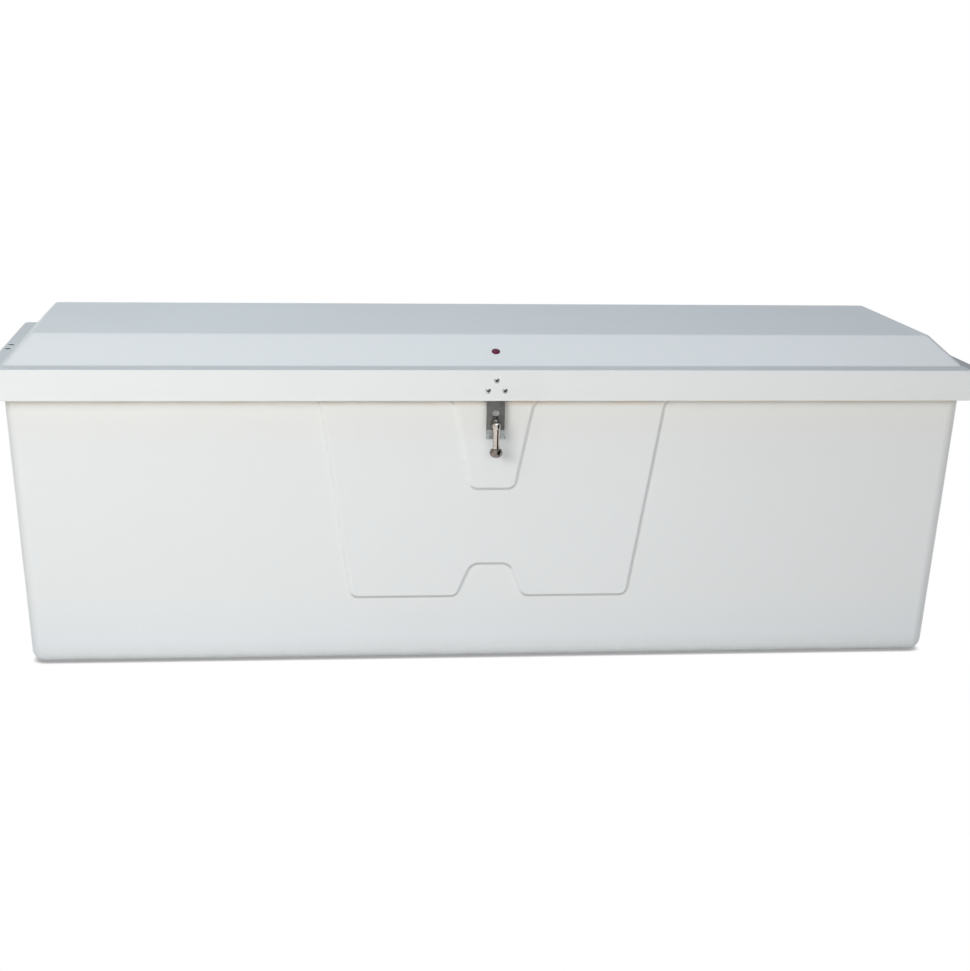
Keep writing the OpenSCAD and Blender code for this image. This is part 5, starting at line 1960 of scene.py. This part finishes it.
@dataclass
class Studio:
    """Camera, lamps, white surroundings and a pale floor that keeps the contact shadow."""

    eye: Triple = (-0.406, -3.8924, 1.1527)
    yaw: float = -0.1079
    pitch: float = -0.2176
    roll: float = -0.0181
    focal_px: float = 1980.1
    frame_px: float = 970.0
    sensor: float = 36.0
    white: Triple = (1.0, 1.0, 1.0)
    sky_light: float = 0.10
    floor_size: float = 60.0
    floor_tone: float = 0.82
    floor_rough: float = 0.9
    contact: float = 0.014
    contact_tone: Band = (0.30, 0.80, 0.36, 1.0)
    flag_at: Triple = (0.10, -0.56, 0.42)
    flag_size: Triple = (0.26, 0.38, 1.0)
    flag_tone: float = 0.012
    room: Tuple[Tuple[float, Triple], ...] = (
        (-0.95, (0.78, 0.60, 0.46)), (-0.55, (0.87, 0.90, 0.92)), (-0.05, (0.89, 0.975, 1.0)),
        (0.35, (0.545, 0.575, 0.60)), (0.45, (0.38, 0.40, 0.42)), (0.65, (0.05, 0.05, 0.055)))
    aim: Triple = (0.0, 0.0, 0.30)
    lamps: Tuple[Lamp, ...] = (
        Lamp("key_panel", (-2.05, -3.45, 1.62), 1.8, 1.6, 71.0, (0.985, 1.0, 1.0)),
        Lamp("front_panel", (0.0, -5.2, 1.7), 4.0, 1.2, 66.0, (1.0, 0.97, 0.925)),
        Lamp("top_panel", (0.0, -0.3, 4.0), 4.0, 3.0, 53.0, (0.69, 0.84, 1.0), mirrored=True),
        Lamp("right_fill", (4.5, -1.0, 1.4), 2.5, 2.0, 12.0),
        Lamp("rear_fill", (0.0, 4.6, 0.34), 4.0, 0.5, 125.0),
        Lamp("end_fill", (3.9, 2.7, 0.34), 2.0, 0.5, 62.0))

    def build(self) -> None:
        """Sets up everything around the object."""
        bpy.context.scene.view_settings.view_transform = "Standard"
        self.camera()
        self.world()
        self.floor()
        self.flag()
        for lamp in self.lamps:
            self.hang(lamp)

    def camera(self) -> None:
        """Adds the camera at the photograph's angle."""
        data = bpy.data.cameras.new("camera")
        data.sensor_fit = "HORIZONTAL"
        data.sensor_width = self.sensor
        data.lens = self.sensor * self.focal_px / self.frame_px
        camera = bpy.data.objects.new("camera", data)
        bpy.context.scene.collection.objects.link(camera)
        turn = (Matrix.Rotation(self.yaw, 4, "Z") @ Matrix.Rotation(self.pitch, 4, "X")
                @ Matrix.Rotation(self.roll, 4, "Y") @ TO_MINUS_Y)
        camera.matrix_world = Matrix.Translation(self.eye) @ turn
        bpy.context.scene.camera = camera

    def hang(self, lamp: Lamp) -> None:
        """Hangs a lamp in its place and turns it to the box.

        Args:
            lamp: the lamp's values.
        """
        data = bpy.data.lights.new(lamp.name, "AREA")
        data.shape = "RECTANGLE"
        data.size, data.size_y = lamp.width, lamp.height
        data.energy, data.color = lamp.power, lamp.colour
        hung = bpy.data.objects.new(lamp.name, data)
        bpy.context.scene.collection.objects.link(hung)
        hung.location = lamp.place
        hung.visible_glossy = lamp.mirrored
        hung.rotation_euler = (Vector(self.aim) - Vector(lamp.place)).to_track_quat("-Z", "Y").to_euler()

    @staticmethod
    def rays(tree: bpy.types.NodeTree, *kinds: str) -> Socket:
        """Adds a switch that tells kinds of rays from the rest.

        Args:
            tree: the node tree.
            kinds: outputs of the light path, such as Is Camera Ray.

        Returns:
            1 for those rays and 0 for all others.
        """
        path = tree.nodes.new("ShaderNodeLightPath")
        total = path.outputs[kinds[0]]
        for name in kinds[1:]:
            either = tree.nodes.new("ShaderNodeMath")
            either.operation = "MAXIMUM"
            tree.links.new(total, either.inputs[0])
            tree.links.new(path.outputs[name], either.inputs[1])
            total = either.outputs[0]
        return total

    @staticmethod
    def switch(tree: bpy.types.NodeTree, factor: Socket, first: Socket, second: Socket) -> Socket:
        """Switches between two shaders.

        Args:
            tree: the node tree.
            factor: 0 for the first and 1 for the second.
            first: a shader.
            second: a shader.

        Returns:
            The mixed shader.
        """
        mix = tree.nodes.new("ShaderNodeMixShader")
        for source, target in zip((factor, first, second), mix.inputs):
            tree.links.new(source, target)
        return mix.outputs[0]

    @staticmethod
    def matt(thing: bpy.types.Object, name: str, tone: float, rough: float) -> bpy.types.NodeTree:
        """Gives a plane of the studio a plain grey material.

        Args:
            thing: the plane.
            name: the material's name.
            tone: its grey.
            rough: its roughness.

        Returns:
            The material's node tree.
        """
        material = bpy.data.materials.new(name)
        material.use_nodes = True
        shader = material.node_tree.nodes["Principled BSDF"]
        shader.inputs["Base Color"].default_value = (tone, tone, tone, 1.0)
        shader.inputs["Roughness"].default_value = rough
        thing.data.materials.append(material)
        return material.node_tree

    def across(self, tree: bpy.types.NodeTree) -> Socket:
        """Colours the room from its brighter left to its right.

        Args:
            tree: the world's node tree.

        Returns:
            The room's colour by direction.
        """
        apart = tree.nodes.new("ShaderNodeSeparateXYZ")
        tree.links.new(tree.nodes.new("ShaderNodeTexCoord").outputs["Generated"], apart.inputs["Vector"])
        share = tree.nodes.new("ShaderNodeMapRange")
        share.inputs["From Min"].default_value, share.inputs["From Max"].default_value = -1.0, 1.0
        tree.links.new(apart.outputs["X"], share.inputs["Value"])
        ramp = tree.nodes.new("ShaderNodeValToRGB")
        tree.links.new(share.outputs["Result"], ramp.inputs["Fac"])
        stops = ramp.color_ramp.elements
        while len(stops) < len(self.room):
            stops.new(0.5)
        for stop, (x, colour) in zip(stops, self.room):
            stop.position, stop.color = (x + 1.0) / 2.0, (*colour, 1.0)
        return ramp.outputs["Color"]

    def world(self) -> None:
        """White behind the box, the room's colours in its reflections and a dim sky as light."""
        world = bpy.data.worlds.new("studio")
        bpy.context.scene.world = world
        world.use_nodes = True
        tree = world.node_tree
        light = tree.nodes["Background"]
        room, behind = (tree.nodes.new("ShaderNodeBackground") for _ in range(2))
        light.inputs["Color"].default_value = behind.inputs["Color"].default_value = (*self.white, 1.0)
        light.inputs["Strength"].default_value = self.sky_light
        tree.links.new(self.across(tree), room.inputs["Color"])
        lit = self.switch(tree, self.rays(tree, "Is Glossy Ray"), light.outputs[0], room.outputs[0])
        seen = self.rays(tree, "Is Camera Ray", "Is Transmission Ray")
        tree.links.new(self.switch(tree, seen, lit, behind.outputs[0]),
                       tree.nodes["World Output"].inputs["Surface"])

    def floor(self) -> None:
        """Pale floor: white where it is seen, darker where the box stands on it."""
        Workpiece.clear()
        bpy.ops.mesh.primitive_plane_add(size=self.floor_size)
        floor = bpy.context.object
        floor.name = "floor"
        tree = self.matt(floor, "pale_floor", self.floor_tone, self.floor_rough)
        near = tree.nodes.new("ShaderNodeAmbientOcclusion")
        near.inputs["Distance"].default_value = self.contact
        near.samples = 8
        tone = tree.nodes.new("ShaderNodeMapRange")
        for key, value in zip(("From Min", "From Max", "To Min", "To Max"), self.contact_tone):
            tone.inputs[key].default_value = value
        tree.links.new(near.outputs["AO"], tone.inputs["Value"])
        glow = tree.nodes.new("ShaderNodeEmission")
        tree.links.new(tone.outputs["Result"], glow.inputs["Color"])
        seen = self.rays(tree, "Is Camera Ray", "Is Glossy Ray", "Is Transmission Ray")
        mixed = self.switch(tree, seen, tree.nodes["Principled BSDF"].outputs[0], glow.outputs[0])
        tree.links.new(mixed, tree.nodes["Material Output"].inputs["Surface"])

    def flag(self) -> None:
        """Black card at the right of the latch that only mirrored rays meet: its steel's dark side."""
        Workpiece.clear()
        bpy.ops.mesh.primitive_plane_add(size=1.0, location=self.flag_at, rotation=(0.0, -QUARTER, 0.0))
        card = bpy.context.object
        card.name = "black_flag"
        card.scale = self.flag_size
        self.matt(card, "black_flag", self.flag_tone, 1.0)
        card.visible_camera = card.visible_diffuse = card.visible_shadow = card.visible_transmission = False


def main() -> None:
    """Builds every part of the dock box in order."""
    logging.basicConfig(level=logging.INFO, format="%(name)s %(message)s")
    springs = [GasSpring(side) for side in Side]
    for assembly in (Studio(), Tub(), Lid(), SealStrip(), Stringers(), RearHinge(), *springs, PopRivets(),
                     LidScrews(), LidPlug(), HaspStrap(), TurnLatch()):
        assembly.build()
    Workpiece.clear()


if __name__ == "__main__":
    main()
